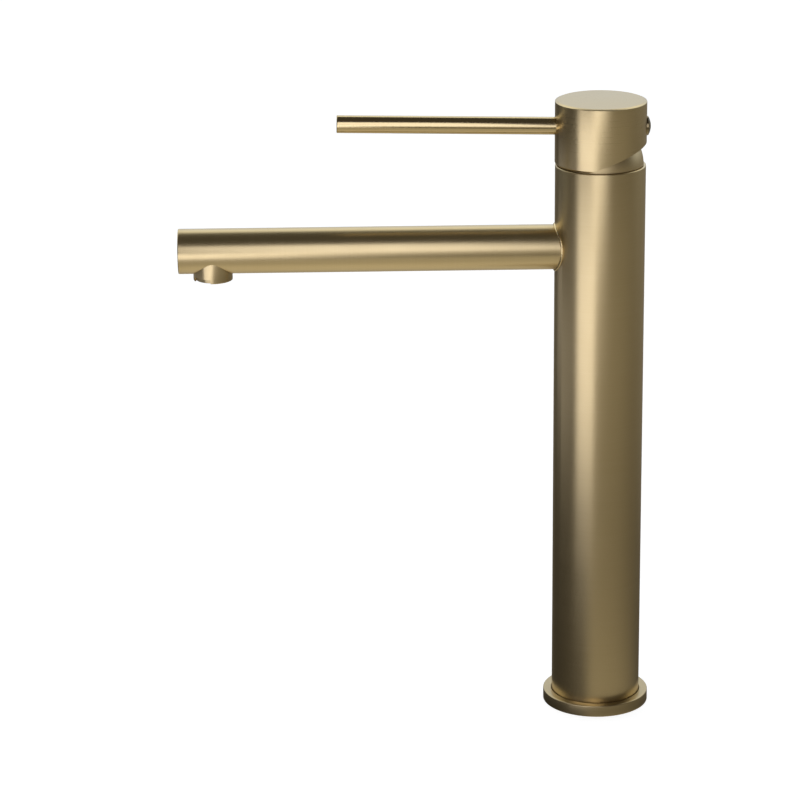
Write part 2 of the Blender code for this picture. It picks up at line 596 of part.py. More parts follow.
def honeycomb(radius):
    """Hexagons on a triangular grid, as many as stay whole inside the radius."""
    corner = (HONEYCOMB_PITCH - HONEYCOMB_RIB) / math.sqrt(3)
    reach = math.ceil(radius / HONEYCOMB_PITCH)
    cells = []
    for row in range(-reach, reach + 1):
        for column in range(-2 * reach, 2 * reach + 1):
            x = HONEYCOMB_PITCH * (column + row / 2)
            y = HONEYCOMB_PITCH * row * math.sqrt(3) / 2
            if math.hypot(x, y) + corner < radius - HONEYCOMB_RIB:
                cells.append(polygon(6, corner, math.radians(30), (x, y)))
    return cells


# ---------------------------------------------------------------- cartridge, fixed pieces

def make_cartridge_base():
    radius = HOUSING_INNER_R - FIT_GAP
    top = BASE_Z + CARTRIDGE_BASE_HEIGHT
    base = turned("cartridge_base", [(0, BASE_Z), (radius, BASE_Z), (radius, top), (0, top)], LARGE)
    for side in (-1, 1):
        foot = (side * LOCATING_PIN_X, LOCATING_PIN_Y, BASE_Z - LOCATING_PIN_LENGTH)
        head = (side * LOCATING_PIN_X, LOCATING_PIN_Y, BASE_Z + OVERLAP)
        join(base, rod(f"base_pin_{side}", LOCATING_PIN_RADIUS, foot, head, SMALL))
    for name, x, y, port in PORTS:
        recess = port + PORT_SEAL_WIDTH + 2 * FIT_GAP
        recess_top = BASE_Z + PORT_SEAL_HEIGHT + FIT_GAP
        outline = [(0, BASE_Z - OVERCUT), (recess, BASE_Z - OVERCUT), (recess, recess_top),
                   (port, recess_top), (port, top + OVERCUT), (0, top + OVERCUT)]
        combine(base, turned(f"cut_base_{name}", outline, SMALL, at=(x, y, 0)))
        seal = ring(f"{name}_port_seal", port + FIT_GAP, port + FIT_GAP + PORT_SEAL_WIDTH,
                    PORT_SEAL_HEIGHT, SMALL, at=(x, y, BASE_Z))
        finish(seal, RUBBER)
    finish(base, WHITE_PLASTIC)


def make_fixed_discs():
    """The rubber gasket and the fixed ceramic disc on it, both with the three water ways."""
    stack = [("disc_gasket", DISC_GASKET_Z, DISC_GASKET_HEIGHT, RUBBER),
             ("fixed_ceramic_disc", FIXED_DISC_Z, FIXED_DISC_HEIGHT, CERAMIC)]
    for node, bottom, height, look in stack:
        top = bottom + height
        disc = turned(node, [(0, bottom), (FIXED_DISC_RADIUS, bottom), (FIXED_DISC_RADIUS, top),
                             (0, top)], BROAD)
        for name, x, y, port in PORTS:
            combine(disc, rod(f"cut_{node}_{name}", port, (x, y, bottom - OVERCUT),
                              (x, y, top + OVERCUT), SMALL))
        finish(disc, look)


def make_cartridge_housing():
    skirt = BASE_Z + FIT_GAP
    outline = [(HOUSING_INNER_R, skirt), (CARTRIDGE_R, skirt),
               (CARTRIDGE_R, SHOULDER_Z + SHOULDER_THICKNESS),
               (NECK_RADIUS, SHOULDER_Z + SHOULDER_THICKNESS), (NECK_RADIUS, NECK_TOP_Z),
               (NECK_BORE_R, NECK_TOP_Z), (NECK_BORE_R, SHOULDER_Z), (HOUSING_INNER_R, SHOULDER_Z)]
    finish(turned("cartridge_housing", outline, BROAD), WHITE_PLASTIC)


def make_cartridge_nut():
    """Brass ring nut, slotted for a peg spanner, that holds the cartridge on its seat."""
    inner = NECK_RADIUS + NUT_BORE_GAP
    outer = THREAD_R - FIT_GAP
    nut = ring("cartridge_nut", inner, outer, NUT_HEIGHT, BROAD, at=(0, 0, NUT_Z))
    for index in range(NUT_SLOTS // 2):
        low = (-outer - OVERCUT, -NUT_SLOT_WIDTH / 2, NUT_Z + NUT_HEIGHT / 2)
        high = (outer + OVERCUT, NUT_SLOT_WIDTH / 2, NUT_Z + NUT_HEIGHT + OVERCUT)
        slot = box(f"cut_nut_{index}", low, high)
        slot.rotation_euler = (0, 0, math.radians(360 * index / NUT_SLOTS + NUT_SLOT_TURN))
        combine(nut, slot)
    finish(nut, BRASS)


def make_hot_limit_ring():
    """Toothed plastic ring on the cartridge's neck, which sets the hot end of the turn."""
    inner = NECK_RADIUS + FIT_GAP
    bottom = NUT_Z + NUT_HEIGHT + FIT_GAP
    outer = inner + LIMIT_RING_WIDTH
    root = outer - LIMIT_TOOTH_DEPTH
    outline = []
    for tooth in range(LIMIT_RING_TEETH):
        for part, radius in ((0.0, outer), (0.5, outer), (0.5, root), (1.0, root)):
            angle = 2 * math.pi * (tooth + part) / LIMIT_RING_TEETH
            outline.append((radius * math.cos(angle), radius * math.sin(angle)))
    limit = prism("hot_limit_ring", outline, bottom, bottom + LIMIT_RING_HEIGHT)
    combine(limit, rod("cut_limit_ring", inner, (0, 0, bottom - OVERCUT),
                       (0, 0, bottom + LIMIT_RING_HEIGHT + OVERCUT), MEDIUM))
    finish(limit, BLUE_PLASTIC)


def make_bonnet():
    """Spherical bonnet screwed over the valve body's neck, centred on the tilt pin."""
    inner_r = BONNET_R - BONNET_THICKNESS
    foot = math.degrees(math.acos(FIT_GAP / BONNET_R))
    inner_foot = math.degrees(math.asin(SKIRT_INNER_R / inner_r))
    outline = [(SKIRT_INNER_R, -BONNET_SKIRT), (SKIRT_OUTER_R, -BONNET_SKIRT),
               (SKIRT_OUTER_R, FIT_GAP)]
    outline += arc(BONNET_R, foot, BONNET_OPENING, steps=5)
    outline += arc(inner_r, BONNET_OPENING, inner_foot, steps=4)
    finish(turned("bonnet_dome", outline, LARGE, at=(0, 0, PIVOT_Z)), BRUSHED_GOLD)


# ---------------------------------------------------------------- cartridge, moving pieces

def make_sliding_disc():
    """Moving ceramic disc with a mixing chamber below, and the plastic carrier that drives it."""
    top = SLIDING_DISC_Z + SLIDING_DISC_HEIGHT
    disc = turned("sliding_ceramic_disc",
                  [(0, SLIDING_DISC_Z), (SLIDING_DISC_RADIUS, SLIDING_DISC_Z),
                   (SLIDING_DISC_RADIUS, top), (0, top)], BROAD, at=(0, DISC_SLIDE_OFFSET, 0))
    chamber_y = DISC_SLIDE_OFFSET + CHAMBER_OFFSET
    oval = [(CHAMBER_HALF_X * u, CHAMBER_HALF_Y * v) for u, v in polygon(SMALL, 1.0)]
    combine(disc, prism("cut_mixing_chamber", oval, SLIDING_DISC_Z - OVERCUT,
                        SLIDING_DISC_Z + CHAMBER_DEPTH, at=(0, chamber_y, 0)))
    finish(disc, CERAMIC)

    plate_top = CARRIER_Z + CARRIER_PLATE_HEIGHT
    carrier = turned("disc_carrier",
                     [(0, CARRIER_Z), (SLIDING_DISC_RADIUS, CARRIER_Z),
                      (SLIDING_DISC_RADIUS, plate_top), (0, plate_top)], BROAD,
                     at=(0, DISC_SLIDE_OFFSET, 0))
    block_top = CARRIER_Z + CARRIER_HEIGHT
    low = (-CARRIER_HALF_WIDTH, DISC_SLIDE_OFFSET - CARRIER_HALF_LENGTH, plate_top - OVERLAP)
    high = (CARRIER_HALF_WIDTH, DISC_SLIDE_OFFSET + CARRIER_HALF_LENGTH, block_top)
    join(carrier, box("carrier_block", low, high))
    half = BALL_RADIUS + FIT_GAP
    low = (-half, -half, CARRIER_Z - OVERCUT)
    high = (half, half, block_top + OVERCUT)
    combine(carrier, box("cut_ball_pocket", low, high))
    finish(carrier, WHITE_PLASTIC)
    hang_on(pivot("slide_guide", (0, 0, CARRIER_Z)), disc, carrier)


def make_rotor():
    """Turning piece in the cartridge's neck, with the cross pin that the lever stem tilts on."""
    neck_top = NECK_TOP_Z - FIT_GAP
    flange_r = HOUSING_INNER_R - FIT_GAP
    flange_top = ROTOR_Z + ROTOR_FLANGE_HEIGHT
    outline = [(0, ROTOR_Z), (flange_r, ROTOR_Z), (flange_r, flange_top), (ROTOR_R, flange_top),
               (ROTOR_R, neck_top), (0, neck_top)]
    rotor = turned("cartridge_rotor", outline, BROAD)
    cheek_in = CARRIER_HALF_WIDTH + FIT_GAP
    cheek_low = CARRIER_Z + CARRIER_PLATE_HEIGHT + FIT_GAP
    for side in (-1, 1):
        x_low, x_high = sorted((side * cheek_in, side * (cheek_in + FORK_THICKNESS)))
        cheek = box(f"rotor_cheek_{side}", (x_low, -CARRIER_HALF_LENGTH, cheek_low),
                    (x_high, CARRIER_HALF_LENGTH, ROTOR_Z + OVERLAP))
        join(rotor, cheek)
    half_x = STEM_SIZE / 2 + FIT_GAP
    combine(rotor, box("cut_rotor_slot", (-half_x, -ROTOR_SLOT_HALF_LENGTH, ROTOR_Z - OVERCUT),
                       (half_x, ROTOR_SLOT_HALF_LENGTH, neck_top + OVERCUT)))
    combine(rotor, rod("cut_rotor_pin", PIVOT_PIN_RADIUS + PIN_CLEARANCE, (-ROTOR_R * 2, 0, PIVOT_Z),
                       (ROTOR_R * 2, 0, PIVOT_Z), SMALL))
    finish(rotor, GREY_PLASTIC)

    half = PIVOT_PIN_LENGTH / 2
    pin = rod("pivot_pin", PIVOT_PIN_RADIUS, (-half, 0, PIVOT_Z), (half, 0, PIVOT_Z), SMALL)
    finish(pin, STEEL)
    hang_on(pivot("temperature_axis", (0, 0, PIVOT_Z)), rotor, pin)


# ---------------------------------------------------------------- handle

def make_lever_stem():
    """Forged stem: square head in the cap, waist on the cross pin, ball end in the carrier."""
    half = STEM_SIZE / 2
    waist = STEM_WAIST / 2
    head_top = HOLLOW_R + STEM_ENGAGEMENT
    waist_bottom = -PIVOT_PIN_RADIUS - STEM_WAIST_BELOW_PIN
    stem = box("lever_stem", (-half, -half, STEM_SHOULDER), (half, half, head_top))
    stem.location = (0, 0, PIVOT_Z)
    neck = box("stem_waist", (-waist, -waist, waist_bottom), (waist, waist, STEM_SHOULDER + OVERLAP))
    neck.location = (0, 0, PIVOT_Z)
    join(stem, neck)
    ball_z = -PIVOT_TO_BALL
    ball_top = math.degrees(math.asin(STEM_ARM_RADIUS / BALL_RADIUS))
    outline = arc(BALL_RADIUS, 180, ball_top, steps=7, centre=ball_z)
    outline[0] = (0.0, ball_z - BALL_RADIUS)
    outline += [(STEM_ARM_RADIUS, waist_bottom + OVERLAP), (0, waist_bottom + OVERLAP)]
    join(stem, turned("stem_ball", outline, SMALL, at=(0, 0, PIVOT_Z)))
    combine(stem, rod("cut_stem_pin", PIVOT_PIN_RADIUS + PIN_CLEARANCE, (-half * 2, 0, PIVOT_Z),
                      (half * 2, 0, PIVOT_Z), SMALL))
    return finish(stem, STEEL)


def lever_direction():
    rise = math.radians(LEVER_RISE)
    return Vector((0, -math.cos(rise), math.sin(rise)))


def lever_stud_end():
    """Distance from the column axis where the stud's hole stops, short of the cap's hollow."""
    lower_edge = LEVER_ABOVE_PIVOT - LEVER_STUD_RADIUS - FIT_GAP
    hollow = math.sqrt(max(HOLLOW_R ** 2 - lower_edge ** 2, 0.0))
    return hollow + STUD_END_WALL


def make_cap():
    """Solid handle cap, hollowed as a sphere over the bonnet and relieved at the rear."""
    bottom = CAP_BOTTOM_Z - PIVOT_Z
    top = CAP_TOP_Z - PIVOT_Z
    brim = math.degrees(math.acos(bottom / HOLLOW_R))
    roof = math.degrees(math.asin(BOSS_RADIUS / HOLLOW_R))
    outline = [(0, BOSS_ABOVE_PIVOT), (BOSS_RADIUS, BOSS_ABOVE_PIVOT)]
    outline += arc(HOLLOW_R, roof, brim, steps=8)
    outline += [(CAP_R - RIM_CHAMFER, bottom), (CAP_R, bottom + RIM_CHAMFER),
                (CAP_R, top - CAP_TOP_CHAMFER), (CAP_R - CAP_TOP_CHAMFER, top), (0, top)]
    cap = turned("handle_cap", outline, LARGE, at=(0, 0, PIVOT_Z))

    slope = math.tan(math.radians(RELIEF_ANGLE))
    far = 2 * CAP_R
    below = bottom - OVERCUT
    corners = [(RELIEF_START, bottom), (far, bottom + (far - RELIEF_START) * slope), (far, below),
               (RELIEF_START - OVERCUT / slope, below)]
    wedge = prism("cut_cap_relief", corners, -far, far, at=(0, 0, PIVOT_Z))
    wedge.rotation_euler = (math.pi / 2, 0, math.pi / 2)
    combine(cap, wedge)

    half = STEM_SIZE / 2 + FIT_GAP
    socket_top = HOLLOW_R + STEM_ENGAGEMENT + FIT_GAP
    socket = box("cut_stem_socket", (-half, -half, BOSS_ABOVE_PIVOT - OVERCUT),
                 (half, half, socket_top))
    socket.location = (0, 0, PIVOT_Z)
    combine(cap, socket)

    lever_r = LEVER_DIAMETER / 2 + FIT_GAP
    stud_r = LEVER_STUD_RADIUS + FIT_GAP
    shoulder = CAP_R - LEVER_SINK - FIT_GAP
    outline = [(0, lever_stud_end()), (stud_r, lever_stud_end()), (stud_r, shoulder),
               (lever_r, shoulder), (lever_r, CAP_R + OUTSIDE), (0, CAP_R + OUTSIDE)]
    combine(cap, turned("cut_lever_hole", outline, MEDIUM, at=(0, 0, LEVER_Z),
                        along=lever_direction()))

    plug_r = INDEX_PLUG_RADIUS + FIT_GAP
    recess = CAP_R - INDEX_PLUG_DEPTH - FIT_GAP
    grub_r = GRUB_RADIUS + FIT_GAP
    outline = [(0, half - OVERCUT), (grub_r, half - OVERCUT), (grub_r, recess), (plug_r, recess),
               (plug_r, CAP_R + OUTSIDE), (0, CAP_R + OUTSIDE)]
    combine(cap, turned("cut_grub_hole", outline, MEDIUM, at=(0, 0, LEVER_Z), along=(0, 1, 0)))
    return finish(cap, BRUSHED_GOLD)


def make_lever():
    """Plain round lever, screwed to the cap by a threaded stud."""
    root = CAP_R - LEVER_SINK
    radius = LEVER_DIAMETER / 2
    stud_hole = LEVER_STUD_RADIUS + FIT_GAP
    stud_tip = root + LEVER_STUD_IN_ROD
    axis = lever_direction()
    tip = LEVER_TIP / math.cos(math.radians(LEVER_RISE))
    outline = [(0, stud_tip + FIT_GAP), (stud_hole, stud_tip + FIT_GAP), (stud_hole, root),
               (radius, root), (radius, tip - LEVER_TIP_CHAMFER),
               (radius - LEVER_TIP_CHAMFER, tip), (0, tip)]
    lever = turned("lever_rod", outline, MEDIUM, at=(0, 0, LEVER_Z), along=axis)
    finish(lever, BRUSHED_GOLD)

    start = lever_stud_end() + FIT_GAP
    nose_r = LEVER_STUD_RADIUS - LEVER_STUD_CHAMFER
    outline = [(0, start), (nose_r, start), (LEVER_STUD_RADIUS, start + LEVER_STUD_CHAMFER),
               (LEVER_STUD_RADIUS, stud_tip - LEVER_STUD_CHAMFER), (nose_r, stud_tip),
               (0, stud_tip)]
    stud = turned("lever_stud", outline, SMALL, at=(0, 0, LEVER_Z), along=axis)
    finish(stud, STEEL)
    return lever, stud


def make_grub_screw():
    start = STEM_SIZE / 2 + 2 * FIT_GAP
    end = start + GRUB_LENGTH
    outline = [(0, start), (GRUB_RADIUS - 2 * GRUB_CHAMFER, start),
               (GRUB_RADIUS, start + 2 * GRUB_CHAMFER), (GRUB_RADIUS, end - GRUB_CHAMFER),
               (GRUB_RADIUS - GRUB_CHAMFER, end), (0, end)]
    screw = turned("grub_screw", outline, SMALL, at=(0, 0, LEVER_Z), along=(0, 1, 0))
    key = prism("cut_grub_key", polygon(6, GRUB_KEY / math.sqrt(3)), end - GRUB_KEY_DEPTH,
                end + OVERCUT, at=(0, 0, LEVER_Z))
    key.rotation_euler = Vector((0, 1, 0)).to_track_quat("Z", "Y").to_euler()
    combine(screw, key)
    return finish(screw, STEEL)


def make_index_plug():
    """Domed button in the rear of the cap, which hides the grub screw."""
    start = CAP_R - INDEX_PLUG_DEPTH
    rim = CAP_R + INDEX_PLUG_RIM
    rise = INDEX_PLUG_PROUD - INDEX_PLUG_RIM
    dome_r = (INDEX_PLUG_RADIUS ** 2 + rise ** 2) / (2 * rise)
    spread = math.degrees(math.asin(INDEX_PLUG_RADIUS / dome_r))
    outline = [(0, start), (INDEX_PLUG_RADIUS - EDGE_BREAK, start),
               (INDEX_PLUG_RADIUS, start + EDGE_BREAK)]
    outline += arc(dome_r, spread, 0, steps=5, centre=rim + rise - dome_r)
    outline[-1] = (0.0, CAP_R + INDEX_PLUG_PROUD)
    plug = turned("index_plug", outline, MEDIUM, at=(0, 0, LEVER_Z), along=(0, 1, 0))
    return finish(plug, BRUSHED_GOLD)


def make_handle():
    lever, stud = make_lever()
    pieces = [make_cap(), lever, stud, make_lever_stem(), make_grub_screw(), make_index_plug()]
    hang_on(pivot("tilt_axis", (0, 0, PIVOT_Z)), *pieces)


clear_scene()
make_base_flange()
make_base_insert()
make_inlet_pipes()
make_column()
make_valve_body()
make_spout()
make_aerator()
make_cartridge_base()
make_fixed_discs()
make_cartridge_housing()
make_cartridge_nut()
make_hot_limit_ring()
make_bonnet()
make_sliding_disc()
make_rotor()
make_handle()
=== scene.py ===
import math

import bmesh
import bpy
from mathutils import Matrix, Vector


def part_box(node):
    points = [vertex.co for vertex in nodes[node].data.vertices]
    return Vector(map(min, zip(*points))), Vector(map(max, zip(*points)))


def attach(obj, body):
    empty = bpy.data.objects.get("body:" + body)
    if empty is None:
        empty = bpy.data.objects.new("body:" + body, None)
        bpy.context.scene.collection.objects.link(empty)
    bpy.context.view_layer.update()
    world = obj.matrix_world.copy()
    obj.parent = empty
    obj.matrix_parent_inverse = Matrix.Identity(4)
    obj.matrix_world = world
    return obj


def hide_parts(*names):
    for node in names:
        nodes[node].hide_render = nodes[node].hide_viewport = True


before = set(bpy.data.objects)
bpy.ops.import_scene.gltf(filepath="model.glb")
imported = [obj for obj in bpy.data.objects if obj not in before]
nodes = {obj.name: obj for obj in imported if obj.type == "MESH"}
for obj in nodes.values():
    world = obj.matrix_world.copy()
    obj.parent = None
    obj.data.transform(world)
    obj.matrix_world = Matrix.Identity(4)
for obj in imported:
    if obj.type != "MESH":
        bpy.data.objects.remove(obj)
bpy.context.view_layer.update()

scene = bpy.context.scene
scene.view_settings.view_transform = "Standard"


# ---------------------------------------------------------------- camera
# A long lens, a little above the spout and square to it, so that the tall column, the spout
# and the lever are seen from the side with the lever's tip and the outlet to the left.

LENS = 153.27
AZIMUTH = math.radians(89.01)
ELEVATION = math.radians(17.87)
ROLL = math.radians(-0.47)
DISTANCE = 1.75765
aim = Vector((0.0, -0.1023, 0.1671))
back = Vector((math.sin(AZIMUTH) * math.cos(ELEVATION),
               -math.cos(AZIMUTH) * math.cos(ELEVATION), math.sin(ELEVATION)))
camera = bpy.data.objects.new("camera", bpy.data.cameras.new("camera"))
camera.data.lens = LENS
camera.matrix_world = (Matrix.Translation(aim + back * DISTANCE)
                       @ (-back).to_track_quat("-Z", "Y").to_matrix().to_4x4()
                       @ Matrix.Rotation(ROLL, 4, "Z"))
scene.collection.objects.link(camera)
scene.camera = camera


# ---------------------------------------------------------------- foot of the column
# The foot is a solid brass bar end, turned and faced on a lathe, then drilled for the two
# flexible tails and the fixing stud. It is pressed and soldered into the column.

MM = 0.001
UP = Vector((0, 0, 1))


class Signal:
    """A number on a socket of a node tree; Python's arithmetic on it adds Math nodes."""

    def __init__(self, graph, socket):
        self.graph = graph
        self.socket = socket

    def math(self, operation, *values):
        return self.graph.node("Math", {"operation": operation}, dict(enumerate(values)))

    def __add__(self, other):
        return self.math("ADD", self, other)

    def __sub__(self, other):
        return self.math("SUBTRACT", self, other)

    def __rsub__(self, other):
        return self.math("SUBTRACT", other, self)

    def __mul__(self, other):
        return self.math("MULTIPLY", self, other)

    __radd__ = __add__
    __rmul__ = __mul__


class Graph:
    """A shader node tree, and the one way in which nodes are added to it."""

    def __init__(self, tree):
        self.tree = tree

    def node(self, kind, settings=None, inputs=None, output=0):
        made = self.tree.nodes.new("ShaderNode" + kind)
        for name, value in (settings or {}).items():
            setattr(made, name, value)
        for name, value in (inputs or {}).items():
            self.feed(made.inputs[name], value)
        return Signal(self, made.outputs[output])

    def feed(self, socket, value):
        if isinstance(value, Signal):
            self.tree.links.new(value.socket, socket)
        else:
            socket.default_value = value

    def between(self, factor, low, high):
        """A colour from low to high as factor goes from 0 to 1."""
        return self.node("Mix", {"data_type": "RGBA"}, {0: factor, 6: low, 7: high}, 2)


class Finish(Graph):
    """One finish of the mixer: a Principled material whose patterns stand on the object."""

    def __init__(self, name, **constants):
        self.material = bpy.data.materials.new(name)
        self.material.use_nodes = True
        super().__init__(self.material.node_tree)
        self.shader = self.tree.nodes["Principled BSDF"]
        self.place = self.node("TexCoord", output=3)
        for name, value in constants.items():
            self.set(name.replace("_", " "), value)

    def set(self, socket, value):
        self.feed(self.shader.inputs[socket], value)

    def noise(self, size, detail=2.0, at=None):
        """Soft clouds; size is the breadth of one, in metres."""
        return self.node("TexNoise", {}, {"Vector": at or self.place, "Scale": 1 / size,
                                          "Detail": detail})

    def hairlines(self, axis, centre, pitch, run):
        """Lines that a tool leaves round an axis, or as rings on a flat end."""
        arm = self.node("VectorMath", {"operation": "SUBTRACT"},
                        {0: self.place, 1: centre})
        height = self.node("VectorMath", {"operation": "DOT_PRODUCT"}, {0: arm, 1: axis}, 1)
        on_axis = self.node("VectorMath", {"operation": "SCALE"}, {0: axis, "Scale": height})
        out = self.node("VectorMath", {"operation": "SUBTRACT"}, {0: arm, 1: on_axis})
        radius = self.node("VectorMath", {"operation": "LENGTH"}, {0: out}, 1)
        slow = self.node("VectorMath", {"operation": "SCALE"}, {0: arm, "Scale": 1 / run})
        return self.node("TexNoise", {"noise_dimensions": "4D"},
                         {"Vector": slow, "W": (height + radius) * (1 / pitch), "Scale": 1.0,
                          "Detail": 2.0, "Roughness": 0.6})

    def relief(self, height, depth, strength=1.0):
        self.set("Normal", self.node("Bump", {}, {"Height": height, "Distance": depth,
                                                  "Strength": strength}))


def turned_brass(name, centre):
    """Free-cutting brass with the rings of the lathe tool and a slight tarnish."""
    finish = Finish(name, Metallic=1.0)
    rings = finish.hairlines(UP, centre, 0.22 * MM, 30 * MM)
    tarnish = finish.noise(9 * MM, 4.0)
    bright = finish.between(rings, (0.68, 0.49, 0.21, 1), (0.82, 0.62, 0.30, 1))
    finish.set("Base Color", finish.between(tarnish * 0.7, bright, (0.45, 0.30, 0.12, 1)))
    finish.set("Roughness", 0.24 + rings * 0.14 + tarnish * 0.08)
    finish.relief(rings, 0.012 * MM)
    return finish.material


def look(node, material):
    """Give a CAD node that stays as it is its finish."""
    slots = nodes[node].data.materials
    slots.clear()
    slots.append(material)


look("base_insert", turned_brass("brass_foot", (0, 0, 0)))


# ---------------------------------------------------------------- inlet pipes
# Two hard-drawn copper pipes, beaded at both ends, carry hot and cold water up the column.
# Drawing leaves straight lines along them, and they have dulled a little.

def drawn_copper():
    finish = Finish("drawn_copper", Metallic=1.0)
    along = finish.node("Mapping", {}, {"Vector": finish.place, "Scale": (1, 1, 0.02)})
    lines = finish.noise(0.25 * MM, 2.0, along)
    dulling = finish.noise(14 * MM, 4.0)
    bright = finish.between(lines, (0.66, 0.33, 0.20, 1), (0.83, 0.47, 0.31, 1))
    finish.set("Base Color", finish.between(dulling * 0.8, bright, (0.36, 0.19, 0.12, 1)))
    finish.set("Roughness", 0.22 + lines * 0.12 + dulling * 0.14)
    finish.relief(lines, 0.01 * MM)
    return finish.material


copper = drawn_copper()
for side in ("hot", "cold"):
    look(f"{side}_inlet_pipe", copper)


# ---------------------------------------------------------------- seals
# Moulded rubber rings and flat washers, black and matt, with a faint powdery bloom left from
# the mould.

def moulded_rubber():
    finish = Finish("black_rubber", Metallic=0.0)
    grain = finish.noise(0.12 * MM, 3.0)
    bloom = finish.noise(3 * MM, 3.0)
    finish.set("Base Color", finish.between(bloom, (0.012, 0.012, 0.013, 1),
                                            (0.045, 0.045, 0.043, 1)))
    finish.set("Roughness", 0.62 + grain * 0.2)
    finish.relief(grain, 0.01 * MM)
    return finish.material


rubber = moulded_rubber()
for seal in ("base_gasket", "hot_pipe_lower_seal", "hot_pipe_upper_seal",
             "cold_pipe_lower_seal", "cold_pipe_upper_seal", "spout_root_seal",
             "aerator_gasket", "hot_port_seal", "cold_port_seal", "outlet_port_seal",
             "disc_gasket"):
    look(seal, rubber)


# ---------------------------------------------------------------- valve body
# A brass casting in the top of the column, machined outside, with the waterways bored up to
# the cartridge seat and the spout's socket in front.

look("valve_body", turned_brass("brass_valve_body", (0, 0, 0)))


# ---------------------------------------------------------------- column
# A drawn brass tube, its upper rim chamfered. It is brushed round and round on a lathe and
# then plated in satin gold, so its hairlines run across it.

def satin_gold(name, axis, centre, gloss=0.0, depth=1.0):
    """Satin gold plate over brushed metal.

    A gloss above 0 takes off some of its roughness and one below 0 adds some. A depth below
    1 darkens it and one above 1 lightens it: painted shade on the cup and the flange, a
    painted highlight on the braze.
    """
    valley, crest, warm = (0.60, 0.470, 0.242), (0.68, 0.546, 0.307), (0.59, 0.449, 0.231)
    low, high, warm = ([part * depth for part in tone] + [1] for tone in (valley, crest, warm))
    finish = Finish(name, Metallic=1.0)
    lines = finish.hairlines(axis, centre, 0.14 * MM, 26 * MM)
    bands = finish.hairlines(axis, centre, 1.7 * MM, 90 * MM)
    handling = finish.noise(16 * MM, 3.0)
    plate = finish.between(lines, low, high)
    warmth = (handling + bands) * 0.22
    finish.set("Base Color", finish.between(warmth, plate, warm))
    finish.set("Roughness", 0.255 - gloss + lines * 0.09 + handling * 0.04)
    finish.relief(lines + bands * 0.5, 0.003 * MM)
    return finish.material


def read_sockets(tree, sizes):
    """Named number inputs on a geometry tree, with the size that each starts at."""
    for name, value in sizes.items():
        socket = tree.interface.new_socket(name, in_out="INPUT",
                                           socket_type="NodeSocketFloat")
        socket.default_value = value
    tree.interface.new_socket("Geometry", in_out="OUTPUT", socket_type="NodeSocketGeometry")


class Shape:
    """A geometry node tree with named sizes, which ends in one plain mesh."""

    def __init__(self, name, **sizes):
        self.tree = bpy.data.node_groups.new(name, "GeometryNodeTree")
        read_sockets(self.tree, sizes)
        self.sizes = self.tree.nodes.new("NodeGroupInput")

    def node(self, kind, settings=None, inputs=None, output=0):
        made = self.tree.nodes.new(kind)
        for name, value in (settings or {}).items():
            setattr(made, name, value)
        for name, value in (inputs or {}).items():
            socket = made.inputs[name]
            if isinstance(value, bpy.types.NodeSocket):
                self.tree.links.new(value, socket)
            elif isinstance(value, str):
                self.tree.links.new(self.sizes.outputs[value], socket)
            else:
                socket.default_value = value
        return made.outputs[output]

    def math(self, operation, *values):
        return self.node("ShaderNodeMath", {"operation": operation}, dict(enumerate(values)))

    def vector(self, x=0.0, y=0.0, z=0.0):
        return self.node("ShaderNodeCombineXYZ", {}, {"X": x, "Y": y, "Z": z})

    def end(self, geometry, material):
        plain = self.node("GeometryNodeRealizeInstances", {}, {"Geometry": geometry})
        dressed = self.node("GeometryNodeSetMaterial", {}, {"Geometry": plain})
        dressed.node.inputs["Material"].default_value = material
        out = self.tree.nodes.new("NodeGroupOutput")
        self.tree.links.new(dressed, out.inputs["Geometry"])


def grown(name, shape, **sizes):
    """An object made by a geometry tree at these sizes, turned into a plain mesh."""
    piece = bpy.data.objects.new(name, bpy.data.meshes.new(name))
    scene.collection.objects.link(piece)
    maker = piece.modifiers.new(name, "NODES")
    maker.node_group = shape.tree
    for item in shape.tree.interface.items_tree:
        if item.in_out == "INPUT" and item.name in sizes:
            maker[item.identifier] = float(sizes[item.name])
    bake(piece)
    return piece


def bake(piece):
    """Turn what the modifiers make into the piece's own mesh."""
    graph = bpy.context.evaluated_depsgraph_get()
    piece.data = bpy.data.meshes.new_from_object(piece.evaluated_get(graph))
    piece.modifiers.clear()
    piece.data.name = piece.name


def shade(piece, angle=32):
    piece.data.shade_smooth()
    piece.data.set_sharp_from_angle(angle=math.radians(angle))


def wall_ring(material):
    """A tube: its wall's section, corners eased, carried round a circle."""
    shape = Shape("wall_ring", Outside=0.023, Wall=0.0018, Height=0.29, Ease=0.0004)
    section = shape.node("GeometryNodeCurvePrimitiveQuadrilateral", {},
                         {"Width": "Wall", "Height": "Height"})
    rounded = shape.node("GeometryNodeFilletCurve", {"mode": "POLY"},
                         {"Curve": section, "Radius": "Ease", "Count": 4})
    half = shape.math("MULTIPLY", "Wall", 0.5)
    middle = shape.math("SUBTRACT", "Outside", half)
    path = shape.node("GeometryNodeCurvePrimitiveCircle", {},
                      {"Resolution": 160, "Radius": middle})
    tube = shape.node("GeometryNodeCurveToMesh", {}, {"Curve": path, "Profile Curve": rounded})
    lift = shape.vector(z=shape.math("MULTIPLY", "Height", 0.5))
    placed = shape.node("GeometryNodeTransform", {}, {"Geometry": tube, "Translation": lift})
    shape.end(placed, material)
    return shape


def cut(piece, *cutters):
    """Take the cutters out of a piece and throw them away."""
    for cutter in cutters:
        saw = piece.modifiers.new("cut", "BOOLEAN")
        saw.object = cutter
        saw.solver = "EXACT"
    bake(piece)
    for cutter in cutters:
        bpy.data.objects.remove(cutter)


